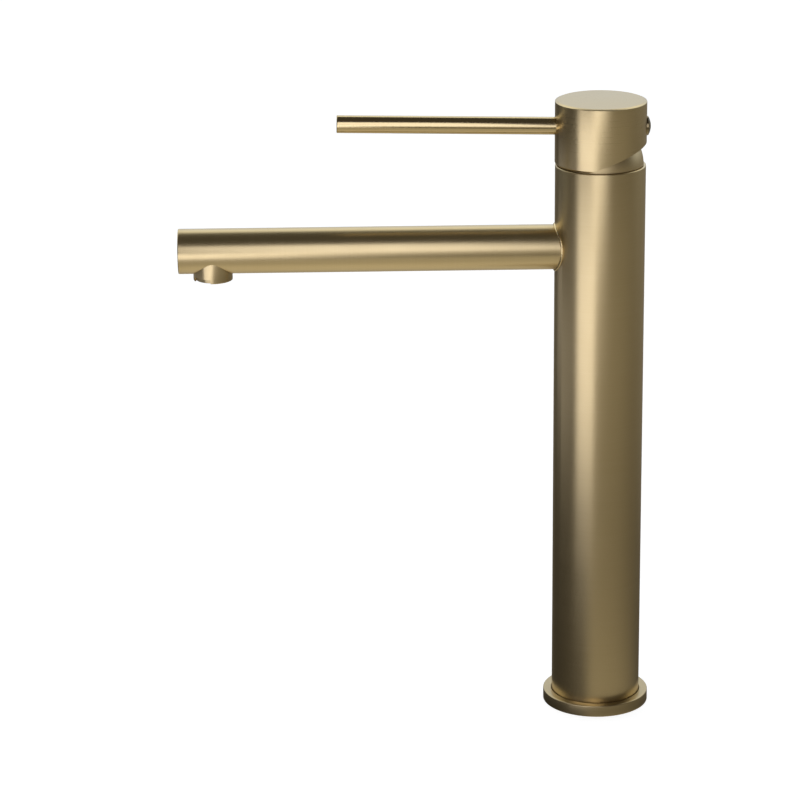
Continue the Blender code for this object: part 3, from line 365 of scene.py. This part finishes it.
def turned(name, outline, sides=160, at=(0, 0, 0), along=UP):
    """A piece turned on a lathe from (radius, height) points, heights measured along an axis.

    An outline that starts and ends on the axis is solid; any other closes as a ring.
    """
    bm = bmesh.new()
    verts = [bm.verts.new((radius, 0, height)) for radius, height in outline]
    edges = [bm.edges.new(pair) for pair in zip(verts, verts[1:])]
    if outline[0][0] > 0:
        edges.append(bm.edges.new((verts[-1], verts[0])))
    bmesh.ops.spin(bm, geom=verts + edges, axis=(0, 0, 1), cent=(0, 0, 0),
                   angle=2 * math.pi, steps=sides, use_merge=True)
    bmesh.ops.remove_doubles(bm, verts=bm.verts, dist=1e-7)
    bmesh.ops.recalc_face_normals(bm, faces=bm.faces)
    tilt = Vector(along).to_track_quat("Z", "Y").to_matrix().to_4x4()
    bm.transform(Matrix.Translation(at) @ tilt)
    mesh = bpy.data.meshes.new(name)
    bm.to_mesh(mesh)
    bm.free()
    piece = bpy.data.objects.new(name, mesh)
    scene.collection.objects.link(piece)
    return piece


def bar(radius, start, end):
    """The outline of a plain round bar between two heights, for a cutter."""
    return [(0, start), (radius, start), (radius, end), (0, end)]


def eased(corners, steps=4):
    """An outline whose corners, given as (radius, height, ease), are rounded by their ease."""
    outline = []
    for index, (radius, height, ease) in enumerate(corners):
        corner = Vector((radius, height))
        if ease == 0:
            outline.append(corner)
            continue
        before = Vector(corners[index - 1][:2]) - corner
        after = Vector(corners[(index + 1) % len(corners)][:2]) - corner
        start = corner + before.normalized() * ease
        end = corner + after.normalized() * ease
        for step in range(steps + 1):
            t = step / steps
            outline.append(start * (1 - t) ** 2 + corner * (2 * t * (1 - t)) + end * t ** 2)
    return [tuple(point) for point in outline]


column_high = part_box("column_tube")[1]
COLUMN_RADIUS = column_high.x
COLUMN_TOP = column_high.z
COLUMN_WALL = 1.8 * MM
COLUMN_EASE = 0.45 * MM
spout_low, spout_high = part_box("spout_tube")
SPOUT_RADIUS = spout_high.x
SPOUT_HEIGHT = (spout_low.z + spout_high.z) / 2
SPOUT_FIT = 0.3 * MM
spout_line = (0, 0, SPOUT_HEIGHT)
TO_FRONT = Vector((0, -1, 0))
TO_REAR = Vector((0, 1, 0))

gold_upright = satin_gold("satin_gold_upright", UP, (0, 0, 0))
column = grown("column", wall_ring(gold_upright), Outside=COLUMN_RADIUS, Wall=COLUMN_WALL,
               Height=COLUMN_TOP, Ease=COLUMN_EASE)
cut(column, turned("spout_hole", bar(SPOUT_RADIUS + SPOUT_FIT, 0, 2 * COLUMN_RADIUS), 96,
                   spout_line, TO_FRONT))
shade(column)
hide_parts("column_tube")
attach(column, "fixed_body")


# ---------------------------------------------------------------- spout
# A straight gold-plated tube that passes through the column's wall into the valve body. Its
# end is closed by a plug, brazed in and brushed flush, so no seam shows there.

SPOUT_END = -spout_low.y
SPOUT_ROOT = -spout_high.y
SPOUT_WALL = 1.2 * MM
END_PLUG = 3 * MM
END_EASE = 0.5 * MM
BROKEN_EDGE = 0.2 * MM
OUTLET_CUT = 30 * MM
gold_spout = satin_gold("satin_gold_spout", TO_FRONT, spout_line)
bore = SPOUT_RADIUS - SPOUT_WALL
spout = turned("spout", eased([(0, SPOUT_END - END_PLUG, 0), (bore, SPOUT_END - END_PLUG, 0),
                               (bore, SPOUT_ROOT, BROKEN_EDGE),
                               (SPOUT_RADIUS, SPOUT_ROOT, BROKEN_EDGE),
                               (SPOUT_RADIUS, SPOUT_END, END_EASE), (0, SPOUT_END, 0)]),
               128, spout_line, TO_FRONT)
collar_low, collar_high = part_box("aerator_collar")
outlet = (collar_low + collar_high) / 2
COLLAR_RADIUS = (collar_high.x - collar_low.x) / 2
hole_top = collar_high.z - outlet.z + SPOUT_FIT
cut(spout, turned("outlet_hole", bar(COLLAR_RADIUS + 2 * SPOUT_FIT, -OUTLET_CUT, hole_top), 96,
                  outlet, UP))
spout.data.materials.append(gold_spout)
shade(spout)
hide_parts("spout_tube", "spout_end_plug")
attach(spout, "fixed_body")


# ---------------------------------------------------------------- braze at the spout's root
# A thin fillet of solder, plated with the rest, rings the spout where it enters the column.
# It follows the saddle line of the two tubes and catches the light, partly by a painted
# highlight.

def saddle_bead(material):
    shape = Shape("saddle_bead", Column=0.023, Spout=0.0115, Bead=0.0003, Height=0.25)
    ring = shape.node("GeometryNodeCurvePrimitiveCircle", {},
                      {"Resolution": 120, "Radius": "Spout"})
    at = shape.node("GeometryNodeInputPosition")
    part = shape.node("ShaderNodeSeparateXYZ", {}, {"Vector": at}).node
    across, rise = part.outputs["X"], part.outputs["Y"]
    reach = shape.math("SQRT", shape.math("SUBTRACT", shape.math("MULTIPLY", "Column", "Column"),
                                          shape.math("MULTIPLY", across, across)))
    saddle = shape.vector(across, shape.math("MULTIPLY", reach, -1.0),
                          shape.math("ADD", rise, "Height"))
    bent = shape.node("GeometryNodeSetPosition", {}, {"Geometry": ring, "Position": saddle})
    section = shape.node("GeometryNodeCurvePrimitiveCircle", {},
                         {"Resolution": 12, "Radius": "Bead"})
    bead = shape.node("GeometryNodeCurveToMesh", {}, {"Curve": bent, "Profile Curve": section})
    shape.end(bead, material)
    return shape


BEAD = 0.7 * MM
# Painted highlight: the braze's gold is painted a quarter lighter than the rest of the plate.
gold_bead_painted_highlight = satin_gold("polished_gold_braze", TO_FRONT, spout_line, gloss=0.05,
                       depth=1.25)
root_bead = grown("spout_root_braze", saddle_bead(gold_bead_painted_highlight), Column=COLUMN_RADIUS,
                  Spout=SPOUT_RADIUS + BEAD * 0.3, Bead=BEAD, Height=SPOUT_HEIGHT)
shade(root_bead, 60)
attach(root_bead, "fixed_body")


# ---------------------------------------------------------------- aerator
# A turned collar screwed up into the spout, with two slots for its key. Inside it a plated
# cup holds a plastic honeycomb that straightens the stream, under a drilled diffuser.

KEY_SLOT_WIDTH = 10.0 * MM
KEY_SLOT_DEPTH = 2.2 * MM
KEY_SLOT_CUT = 20 * MM
KEY_TURN = math.radians(-36)
OVERCUT = 1 * MM
COLLAR_WALL = 1.0 * MM
COLLAR_LEDGE = 7.2 * MM
COLLAR_SHOULDER = 1.2 * MM
COLLAR_FOOT_EASE = 0.35 * MM
LIP_EASE = 0.15 * MM
FINE_EDGE = 0.1 * MM
gold_outlet = satin_gold("satin_gold_outlet", UP, tuple(outlet))
foot = collar_low.z - outlet.z
top = collar_high.z - outlet.z
collar_bore = COLLAR_RADIUS - COLLAR_WALL
collar = turned("aerator_collar_fine",
                eased([(collar_bore, foot, LIP_EASE), (COLLAR_RADIUS, foot, COLLAR_FOOT_EASE),
                       (COLLAR_RADIUS, top, BROKEN_EDGE), (COLLAR_LEDGE, top, FINE_EDGE),
                       (COLLAR_LEDGE, top - COLLAR_SHOULDER, FINE_EDGE),
                       (collar_bore, top - COLLAR_SHOULDER, 0)]),
                128, outlet)


def block(name, low, high, place):
    """A rectangular cutter between two corners, moved by a matrix."""
    bm = bmesh.new()
    bmesh.ops.create_cube(bm, size=1.0)
    span = Matrix.Diagonal([high[i] - low[i] for i in range(3)]).to_4x4()
    middle = Matrix.Translation([(high[i] + low[i]) / 2 for i in range(3)])
    bm.transform(place @ middle @ span)
    mesh = bpy.data.meshes.new(name)
    bm.to_mesh(mesh)
    bm.free()
    piece = bpy.data.objects.new(name, mesh)
    scene.collection.objects.link(piece)
    return piece


slot_place = (Matrix.Translation((outlet.x, outlet.y, collar_low.z))
              @ Matrix.Rotation(KEY_TURN, 4, "Z"))
cut(collar, block("key_slot", (-KEY_SLOT_CUT, -KEY_SLOT_WIDTH / 2, -OVERCUT),
                  (KEY_SLOT_CUT, KEY_SLOT_WIDTH / 2, KEY_SLOT_DEPTH), slot_place))
collar.data.materials.append(gold_outlet)
shade(collar)
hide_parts("aerator_collar")
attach(collar, "fixed_body")

cup_low, cup_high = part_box("aerator_housing")
CUP_RADIUS = (cup_high.x - cup_low.x) / 2
CUP_WALL = 1.2 * MM
CUP_LIP_WIDTH = 0.8 * MM
CUP_LIP_HEIGHT = 0.8 * MM
CUP_BORE = CUP_RADIUS - CUP_WALL
CUP_LIP = CUP_BORE - CUP_LIP_WIDTH
foot = cup_low.z - outlet.z
top = cup_high.z - outlet.z
cup = turned("aerator_cup",
             eased([(CUP_LIP, foot, LIP_EASE), (CUP_RADIUS, foot, BROKEN_EDGE),
                    (CUP_RADIUS, top, FINE_EDGE), (CUP_BORE, top, FINE_EDGE),
                    (CUP_BORE, foot + CUP_LIP_HEIGHT, FINE_EDGE),
                    (CUP_LIP, foot + CUP_LIP_HEIGHT, 0)]),
             128, outlet)
# Painted shade: the cup's gold is painted darker, for the shade inside the collar.
cup.data.materials.append(satin_gold("satin_gold_cup", UP, tuple(outlet), depth=0.8))
shade(cup)
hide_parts("aerator_housing")
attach(cup, "fixed_body")


def moulded_plastic(name, dark, light, roughness):
    """Injection-moulded plastic with a fine spark-eroded grain and faint flow marks."""
    finish = Finish(name, Metallic=0.0)
    grain = finish.noise(0.09 * MM, 2.0)
    flow = finish.noise(4 * MM, 3.0)
    finish.set("Base Color", finish.between(flow, dark, light))
    finish.set("Roughness", roughness - 0.08 + grain * 0.16)
    finish.relief(grain, 0.006 * MM)
    return finish.material


def honeycomb(material):
    """Six-sided cells stood on a triangular grid, kept inside a circle, with a rim round them."""
    shape = Shape("honeycomb", Radius=0.0068, Pitch=0.0016, Rib=0.0003, Depth=0.003)
    corner = shape.math("DIVIDE", "Pitch", math.sqrt(3))
    path = shape.node("GeometryNodeCurvePrimitiveCircle", {},
                      {"Resolution": 6, "Radius": shape.math("SUBTRACT", corner, "Rib")})
    wall = shape.node("GeometryNodeCurvePrimitiveQuadrilateral", {},
                      {"Width": "Rib", "Height": "Depth"})
    cell = shape.node("GeometryNodeCurveToMesh", {}, {"Curve": path, "Profile Curve": wall})
    upright = shape.node("GeometryNodeTransform", {},
                         {"Geometry": cell, "Rotation": (0, 0, math.radians(30))})
    row = shape.math("MULTIPLY", "Pitch", math.sqrt(3) / 2)
    across = 9
    width = shape.math("MULTIPLY", "Pitch", across - 1)
    depth = shape.math("MULTIPLY", row, across - 1)
    grid = shape.node("GeometryNodeMeshGrid", {}, {"Size X": width, "Size Y": depth,
                                                   "Vertices X": across, "Vertices Y": across})
    index = shape.node("GeometryNodeInputIndex")
    odd = shape.math("MODULO", index, 2.0)
    shift = shape.math("MULTIPLY", shape.math("SUBTRACT", odd, 0.5),
                       shape.math("MULTIPLY", "Pitch", 0.5))
    staggered = shape.node("GeometryNodeSetPosition", {},
                           {"Geometry": grid, "Offset": shape.vector(x=shift)})
    at = shape.node("GeometryNodeInputPosition")
    away = shape.node("ShaderNodeVectorMath", {"operation": "LENGTH"}, {0: at}, 1)
    reach = shape.math("SUBTRACT", shape.math("SUBTRACT", "Radius", "Rib"), corner)
    inside = shape.math("LESS_THAN", away, reach)
    cells = shape.node("GeometryNodeInstanceOnPoints", {},
                       {"Points": staggered, "Instance": upright, "Selection": inside})
    rim_path = shape.node("GeometryNodeCurvePrimitiveCircle", {},
                          {"Resolution": 96, "Radius": shape.math("SUBTRACT", "Radius", "Rib")})
    rim = shape.node("GeometryNodeCurveToMesh", {}, {"Curve": rim_path, "Profile Curve": wall})
    both = shape.node("GeometryNodeJoinGeometry")
    for part in (cells, rim):
        shape.tree.links.new(part, both.node.inputs["Geometry"])
    shape.end(both, material)
    return shape


CELL_PITCH = 1.6 * MM
CELL_RIB = 0.3 * MM
grey = moulded_plastic("grey_plastic", (0.16, 0.165, 0.17, 1), (0.24, 0.245, 0.25, 1), 0.5)
white = moulded_plastic("white_plastic", (0.72, 0.72, 0.69, 1), (0.84, 0.84, 0.81, 1), 0.42)
comb_low, comb_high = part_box("flow_straightener")
comb = grown("honeycomb_straightener", honeycomb(grey), Radius=(comb_high.x - comb_low.x) / 2,
             Pitch=CELL_PITCH, Rib=CELL_RIB, Depth=comb_high.z - comb_low.z)
comb.data.transform(Matrix.Translation((comb_low + comb_high) / 2))
shade(comb, 20)
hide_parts("flow_straightener")
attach(comb, "fixed_body")
look("aerator_diffuser", white)


# ---------------------------------------------------------------- cartridge
# A standard single-lever cartridge: two polished ceramic discs in a plastic housing, a rotor
# with a steel cross pin, held down by a brass ring nut, with a toothed limit ring above.

def fired_ceramic():
    finish = Finish("fired_ceramic", Metallic=0.0)
    crystals = finish.noise(0.2 * MM, 3.0)
    body = finish.noise(5 * MM, 2.0)
    finish.set("Base Color", finish.between(body, (0.83, 0.81, 0.74, 1), (0.92, 0.91, 0.87, 1)))
    finish.set("Roughness", 0.10 + crystals * 0.12)
    finish.relief(crystals, 0.002 * MM)
    return finish.material


def ground_steel():
    finish = Finish("stainless_steel", Metallic=1.0)
    lines = finish.hairlines(TO_FRONT, (0, 0, COLUMN_TOP), 0.12 * MM, 12 * MM)
    stain = finish.noise(6 * MM, 3.0)
    finish.set("Base Color", finish.between(stain, (0.50, 0.49, 0.47, 1), (0.66, 0.66, 0.65, 1)))
    finish.set("Roughness", 0.2 + lines * 0.16)
    finish.relief(lines, 0.006 * MM)
    return finish.material


ceramic = fired_ceramic()
steel = ground_steel()
blue = moulded_plastic("blue_plastic", (0.05, 0.12, 0.28, 1), (0.08, 0.18, 0.38, 1), 0.45)
for node in ("cartridge_base", "cartridge_housing", "disc_carrier"):
    look(node, white)
for node in ("fixed_ceramic_disc", "sliding_ceramic_disc"):
    look(node, ceramic)
look("cartridge_rotor", grey)
look("hot_limit_ring", blue)
look("cartridge_nut", turned_brass("brass_nut", (0, 0, 0)))
for node in ("pivot_pin", "lever_stem", "lever_stud", "grub_screw"):
    look(node, steel)


# ---------------------------------------------------------------- bonnet
# A gold-plated dome, part of a sphere about the tilt pin, screwed over the valve body's neck.
# It fills the gap behind the cap when the lever is lifted.

BONNET_WALL = 1.5 * MM
BONNET_OPENING = 55
BONNET_FOOT = 89.2
BONNET_HOLLOW_FOOT = 82
SKIRT_BORE = 20.1 * MM
SKIRT_RADIUS = 20.9 * MM
SKIRT_TOP = 0.3 * MM
bonnet_low, bonnet_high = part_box("bonnet_dome")
BONNET_RADIUS = bonnet_high.x
pivot = Vector((0, 0, COLUMN_TOP))


def arc(radius, start, end, steps):
    """(radius, height) points on a circle about the pivot, in degrees from straight up."""
    angles = [math.radians(start + (end - start) * step / steps) for step in range(steps + 1)]
    return [(radius * math.sin(angle), radius * math.cos(angle)) for angle in angles]


skirt = bonnet_low.z - pivot.z
bonnet = turned("bonnet",
                [(SKIRT_BORE, skirt), (SKIRT_RADIUS, skirt), (SKIRT_RADIUS, SKIRT_TOP)]
                + arc(BONNET_RADIUS, BONNET_FOOT, BONNET_OPENING, 24)
                + arc(BONNET_RADIUS - BONNET_WALL, BONNET_OPENING, BONNET_HOLLOW_FOOT, 20),
                144, pivot)
bonnet.data.materials.append(satin_gold("satin_gold_bonnet", UP, tuple(pivot), gloss=-0.12))
shade(bonnet)
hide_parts("bonnet_dome")
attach(bonnet, "fixed_body")


# ---------------------------------------------------------------- handle cap
# A solid drum, hollowed as a ball over the bonnet and milled away at an angle behind, so that
# it can tip back. Its sides are brushed round and its top in rings.

CAP_HOLLOW = 22.2 * MM
CAP_BOSS_RADIUS = 8.5 * MM
CAP_BOSS_HEIGHT = 12.0 * MM
CAP_RIM = 0.8 * MM
CAP_BEVEL_WIDTH = 1.3 * MM
CAP_BEVEL_DROP = 0.55 * MM
CAP_EASE = 0.15 * MM
RELIEF_START = -7.0 * MM
RELIEF_ANGLE = math.radians(20.4)
LEVER_RISE = math.radians(1.15)
LEVER_HOLE_START = 12 * MM
GRUB_HOLE_START = 9 * MM
GRUB_HOLE_RADIUS = 2.8 * MM
cap_low, cap_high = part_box("handle_cap")
CAP_RADIUS = cap_high.x
lever_low, lever_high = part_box("lever_rod")
plug_low, plug_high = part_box("index_plug")
plug_line = Vector((0, 0, (plug_low.z + plug_high.z) / 2))
PLUG_RADIUS = (plug_high.z - plug_low.z) / 2
LEVER_RADIUS = lever_high.x
lever_out = Vector((0, -math.cos(LEVER_RISE), math.sin(LEVER_RISE)))
foot = cap_low.z - pivot.z
top = cap_high.z - pivot.z
brim = math.degrees(math.acos(foot / CAP_HOLLOW))
roof = math.degrees(math.asin(CAP_BOSS_RADIUS / CAP_HOLLOW))
rim = [(CAP_RADIUS - CAP_RIM, foot, 0), (CAP_RADIUS, foot + CAP_RIM, CAP_EASE),
       (CAP_RADIUS, top - CAP_BEVEL_DROP, CAP_EASE),
       (CAP_RADIUS - CAP_BEVEL_WIDTH, top, CAP_EASE), (0, top, 0)]
cap = turned("cap", [(0, CAP_BOSS_HEIGHT), (CAP_BOSS_RADIUS, CAP_BOSS_HEIGHT)]
             + arc(CAP_HOLLOW, roof, brim, 32) + eased(rim), 160, pivot)
relief = block("relief", (-2 * CAP_RADIUS, 0, -CAP_RADIUS), (2 * CAP_RADIUS, 3 * CAP_RADIUS, 0),
               Matrix.Translation(pivot + Vector((0, RELIEF_START, foot)))
               @ Matrix.Rotation(RELIEF_ANGLE, 4, "X"))
lever_hole = turned("lever_hole",
                    bar(LEVER_RADIUS + SPOUT_FIT, LEVER_HOLE_START, 2 * CAP_RADIUS), 96,
                    plug_line, lever_out)
recess = plug_low.y - SPOUT_FIT
plug_hole = turned("plug_hole", [(0, GRUB_HOLE_START), (GRUB_HOLE_RADIUS, GRUB_HOLE_START),
                                 (GRUB_HOLE_RADIUS, recess), (PLUG_RADIUS + SPOUT_FIT, recess),
                                 (PLUG_RADIUS + SPOUT_FIT, 2 * CAP_RADIUS), (0, 2 * CAP_RADIUS)],
                   96, plug_line, TO_REAR)
cut(cap, relief, lever_hole, plug_hole)
cap.data.materials.append(satin_gold("satin_gold_cap", UP, tuple(pivot), gloss=0.03))
shade(cap)
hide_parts("handle_cap")
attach(cap, "handle")


# ---------------------------------------------------------------- lever
# A plain round rod, ground and polished before plating, so it is glossier than the body. It
# screws into the cap on a hidden stud.

TIP_EASE = 0.45 * MM
LEVER_SUNK = 3 * MM
lever_tip = -lever_low.y / math.cos(LEVER_RISE)
lever_root = CAP_RADIUS - LEVER_SUNK
lever = turned("lever", eased([(0, lever_root, 0), (LEVER_RADIUS, lever_root, FINE_EDGE),
                               (LEVER_RADIUS, lever_tip, TIP_EASE), (0, lever_tip, 0)]),
               96, plug_line, lever_out)
gold_lever = satin_gold("satin_gold_lever", lever_out, tuple(plug_line), gloss=0.12)
lever.data.materials.append(gold_lever)
shade(lever)
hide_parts("lever_rod")
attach(lever, "handle")


# ---------------------------------------------------------------- index button
# A domed gold button pressed into the back of the cap. It covers the grub screw and can be
# prised out by its raised edge.

PLUG_RIM = 0.6 * MM
PLUG_CHAMFER = 0.3 * MM
plug_start = plug_low.y
plug_end = plug_high.y
rise = plug_end - CAP_RADIUS - PLUG_RIM
DOME_RADIUS = (PLUG_RADIUS ** 2 + rise ** 2) / (2 * rise)
spread = math.degrees(math.asin(PLUG_RADIUS / DOME_RADIUS))
dome = [(radius, height + plug_end - DOME_RADIUS)
        for radius, height in arc(DOME_RADIUS, spread, 0, 20)]
button = turned("index_button", [(0, plug_start), (PLUG_RADIUS - PLUG_CHAMFER, plug_start),
                                 (PLUG_RADIUS, plug_start + PLUG_CHAMFER)] + dome[:-1]
                + [(0, plug_end)], 96, plug_line, TO_REAR)
gold_button = satin_gold("satin_gold_button", TO_REAR, tuple(plug_line), gloss=0.1, depth=0.4)
button.data.materials.append(gold_button)
shade(button)
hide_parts("index_plug")
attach(button, "handle")


# ---------------------------------------------------------------- base flange
# A turned rosette that slides down the column and hides the hole in the deck. It is brushed
# in rings on top and round its edge, like the cap.

FLANGE_FIT = 0.3 * MM
FLANGE_EDGE = 0.5 * MM
FLANGE_FOOT_EDGE = 0.3 * MM
FLANGE_BORE_EDGE = 0.25 * MM
GROOVE_IN = 1.1 * MM
GROOVE_WIDTH = 2.0 * MM
GROOVE_DEPTH = 1.6 * MM
flange_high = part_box("base_flange")[1]
FLANGE_RADIUS = flange_high.x
flange_bore = COLUMN_RADIUS + FLANGE_FIT
groove_start = flange_bore + GROOVE_IN
groove_end = groove_start + GROOVE_WIDTH
flange = turned("flange",
                eased([(flange_bore, 0, FINE_EDGE), (groove_start, 0, 0),
                       (groove_start, GROOVE_DEPTH, 0), (groove_end, GROOVE_DEPTH, 0),
                       (groove_end, 0, 0), (FLANGE_RADIUS, 0, FLANGE_FOOT_EDGE),
                       (FLANGE_RADIUS, flange_high.z, FLANGE_EDGE),
                       (flange_bore, flange_high.z, FLANGE_BORE_EDGE)]), 192)
# Painted shade: the flange's gold is painted darker, for the dimmer light low down by the floor.
flange.data.materials.append(satin_gold("satin_gold_flange", UP, (0, 0, 0), depth=0.75))
shade(flange)
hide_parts("base_flange")
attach(flange, "fixed_body")


# ---------------------------------------------------------------- studio
# A pale floor under a white surround. A low soft light to the left is for the column, a tall
# one in front for the spout and the lever, and a faint card fills the column's left side. The
# world adds what the gold mirrors: a pale wall behind, a table below and a dim room.

def softbox(name, place, aim_at, width, height, radiance, roll=0.0):
    """A rectangular light facing a point, as bright at any size; roll is in degrees."""
    light = bpy.data.lights.new(name, "AREA")
    light.shape = "RECTANGLE"
    light.color = (1.0, 1.02, 1.18)
    light.size = width
    light.size_y = height
    light.energy = radiance * math.pi * width * height
    lamp = bpy.data.objects.new(name, light)
    lamp.visible_camera = False
    place = Vector(place)
    facing = (Vector(aim_at) - place).to_track_quat("-Z", "Y").to_matrix().to_4x4()
    lamp.matrix_world = (Matrix.Translation(place) @ facing
                         @ Matrix.Rotation(math.radians(roll), 4, "Z"))
    scene.collection.objects.link(lamp)


softbox("side_softbox", (0.604, -0.472, 0.06), (0, 0, 0.06), 0.66, 0.36, 1.65)
softbox("front_softbox", (1.0, -0.13, 0.645), (0, -0.13, 0.645), 0.60, 0.91, 1.62, 18.0)
softbox("left_card", (-0.2, -0.82, -0.035), (0, 0, -0.035), 1.0, 0.19, 0.36)

world = bpy.data.worlds.new("surround")
world.use_nodes = True
scene.world = world
air = Graph(world.node_tree)
ray = air.node("TexCoord", output=0)
parts = air.node("SeparateXYZ", {}, {"Vector": ray})
toward_camera, to_right, upward = (Signal(air, socket)
                                   for socket in parts.socket.node.outputs[:3])


def fade(value, start, end):
    """Rises smoothly from 0 at start to 1 at end."""
    return air.node("MapRange", {"interpolation_type": "SMOOTHSTEP"},
                    {"Value": value, "From Min": start, "From Max": end})


behind = fade(toward_camera, 0.15, -0.35)
backdrop = behind * fade(upward, 0.88, 0.76) * fade(upward, -0.06, 0.04)
left = fade(to_right, -0.1, -0.6)
below = fade(upward, 0.02, -0.10)
near = (0.17 + 0.15 * fade(toward_camera, -0.2, 0.9)) * (1 - 0.92 * fade(upward, -0.30, -0.38))
under = fade(upward, -0.44, -0.60) * 0.44 + fade(upward, -0.85, -0.97) * 0.2
table = below * (near + under) * (1 - 0.85 * left)
wall = air.between(fade(upward, 0.25, 0.70), (0.76, 0.84, 0.97, 1), (1.30, 1.36, 1.40, 1))
gloom = air.between(below * left, (0.060, 0.054, 0.045, 1), (0.018, 0.016, 0.013, 1))
room = air.between(backdrop, gloom, wall)
lit = air.node("Mix", {"data_type": "RGBA", "blend_type": "ADD"},
               {0: table, 6: room, 7: (1.0, 0.95, 0.82, 1)}, 2)
seen = air.node("LightPath", output=0)
sky = world.node_tree.nodes["Background"]
air.feed(sky.inputs["Color"], air.between(seen, lit, (1, 1, 1, 1)))
sky.inputs["Strength"].default_value = 1.0

FLOOR_REACH = 12.0
FLOOR_THICKNESS = 1.95 * MM
FLOOR_GAP = 0.05 * MM
floor = block("floor", (-FLOOR_REACH, -FLOOR_REACH, -FLOOR_GAP - FLOOR_THICKNESS),
              (FLOOR_REACH, FLOOR_REACH, -FLOOR_GAP), Matrix.Identity(4))
paper = Finish("floor_paper", Roughness=0.9)
paper.set("Base Color", paper.between(paper.noise(0.5), (0.40, 0.40, 0.40, 1),
                                      (0.42, 0.42, 0.42, 1)))
paper.set("Emission Color", (1, 1, 1, 1))
paper.set("Emission Strength", 0.85)
floor.data.materials.append(paper.material)
floor.visible_glossy = False
floor.visible_shadow = False
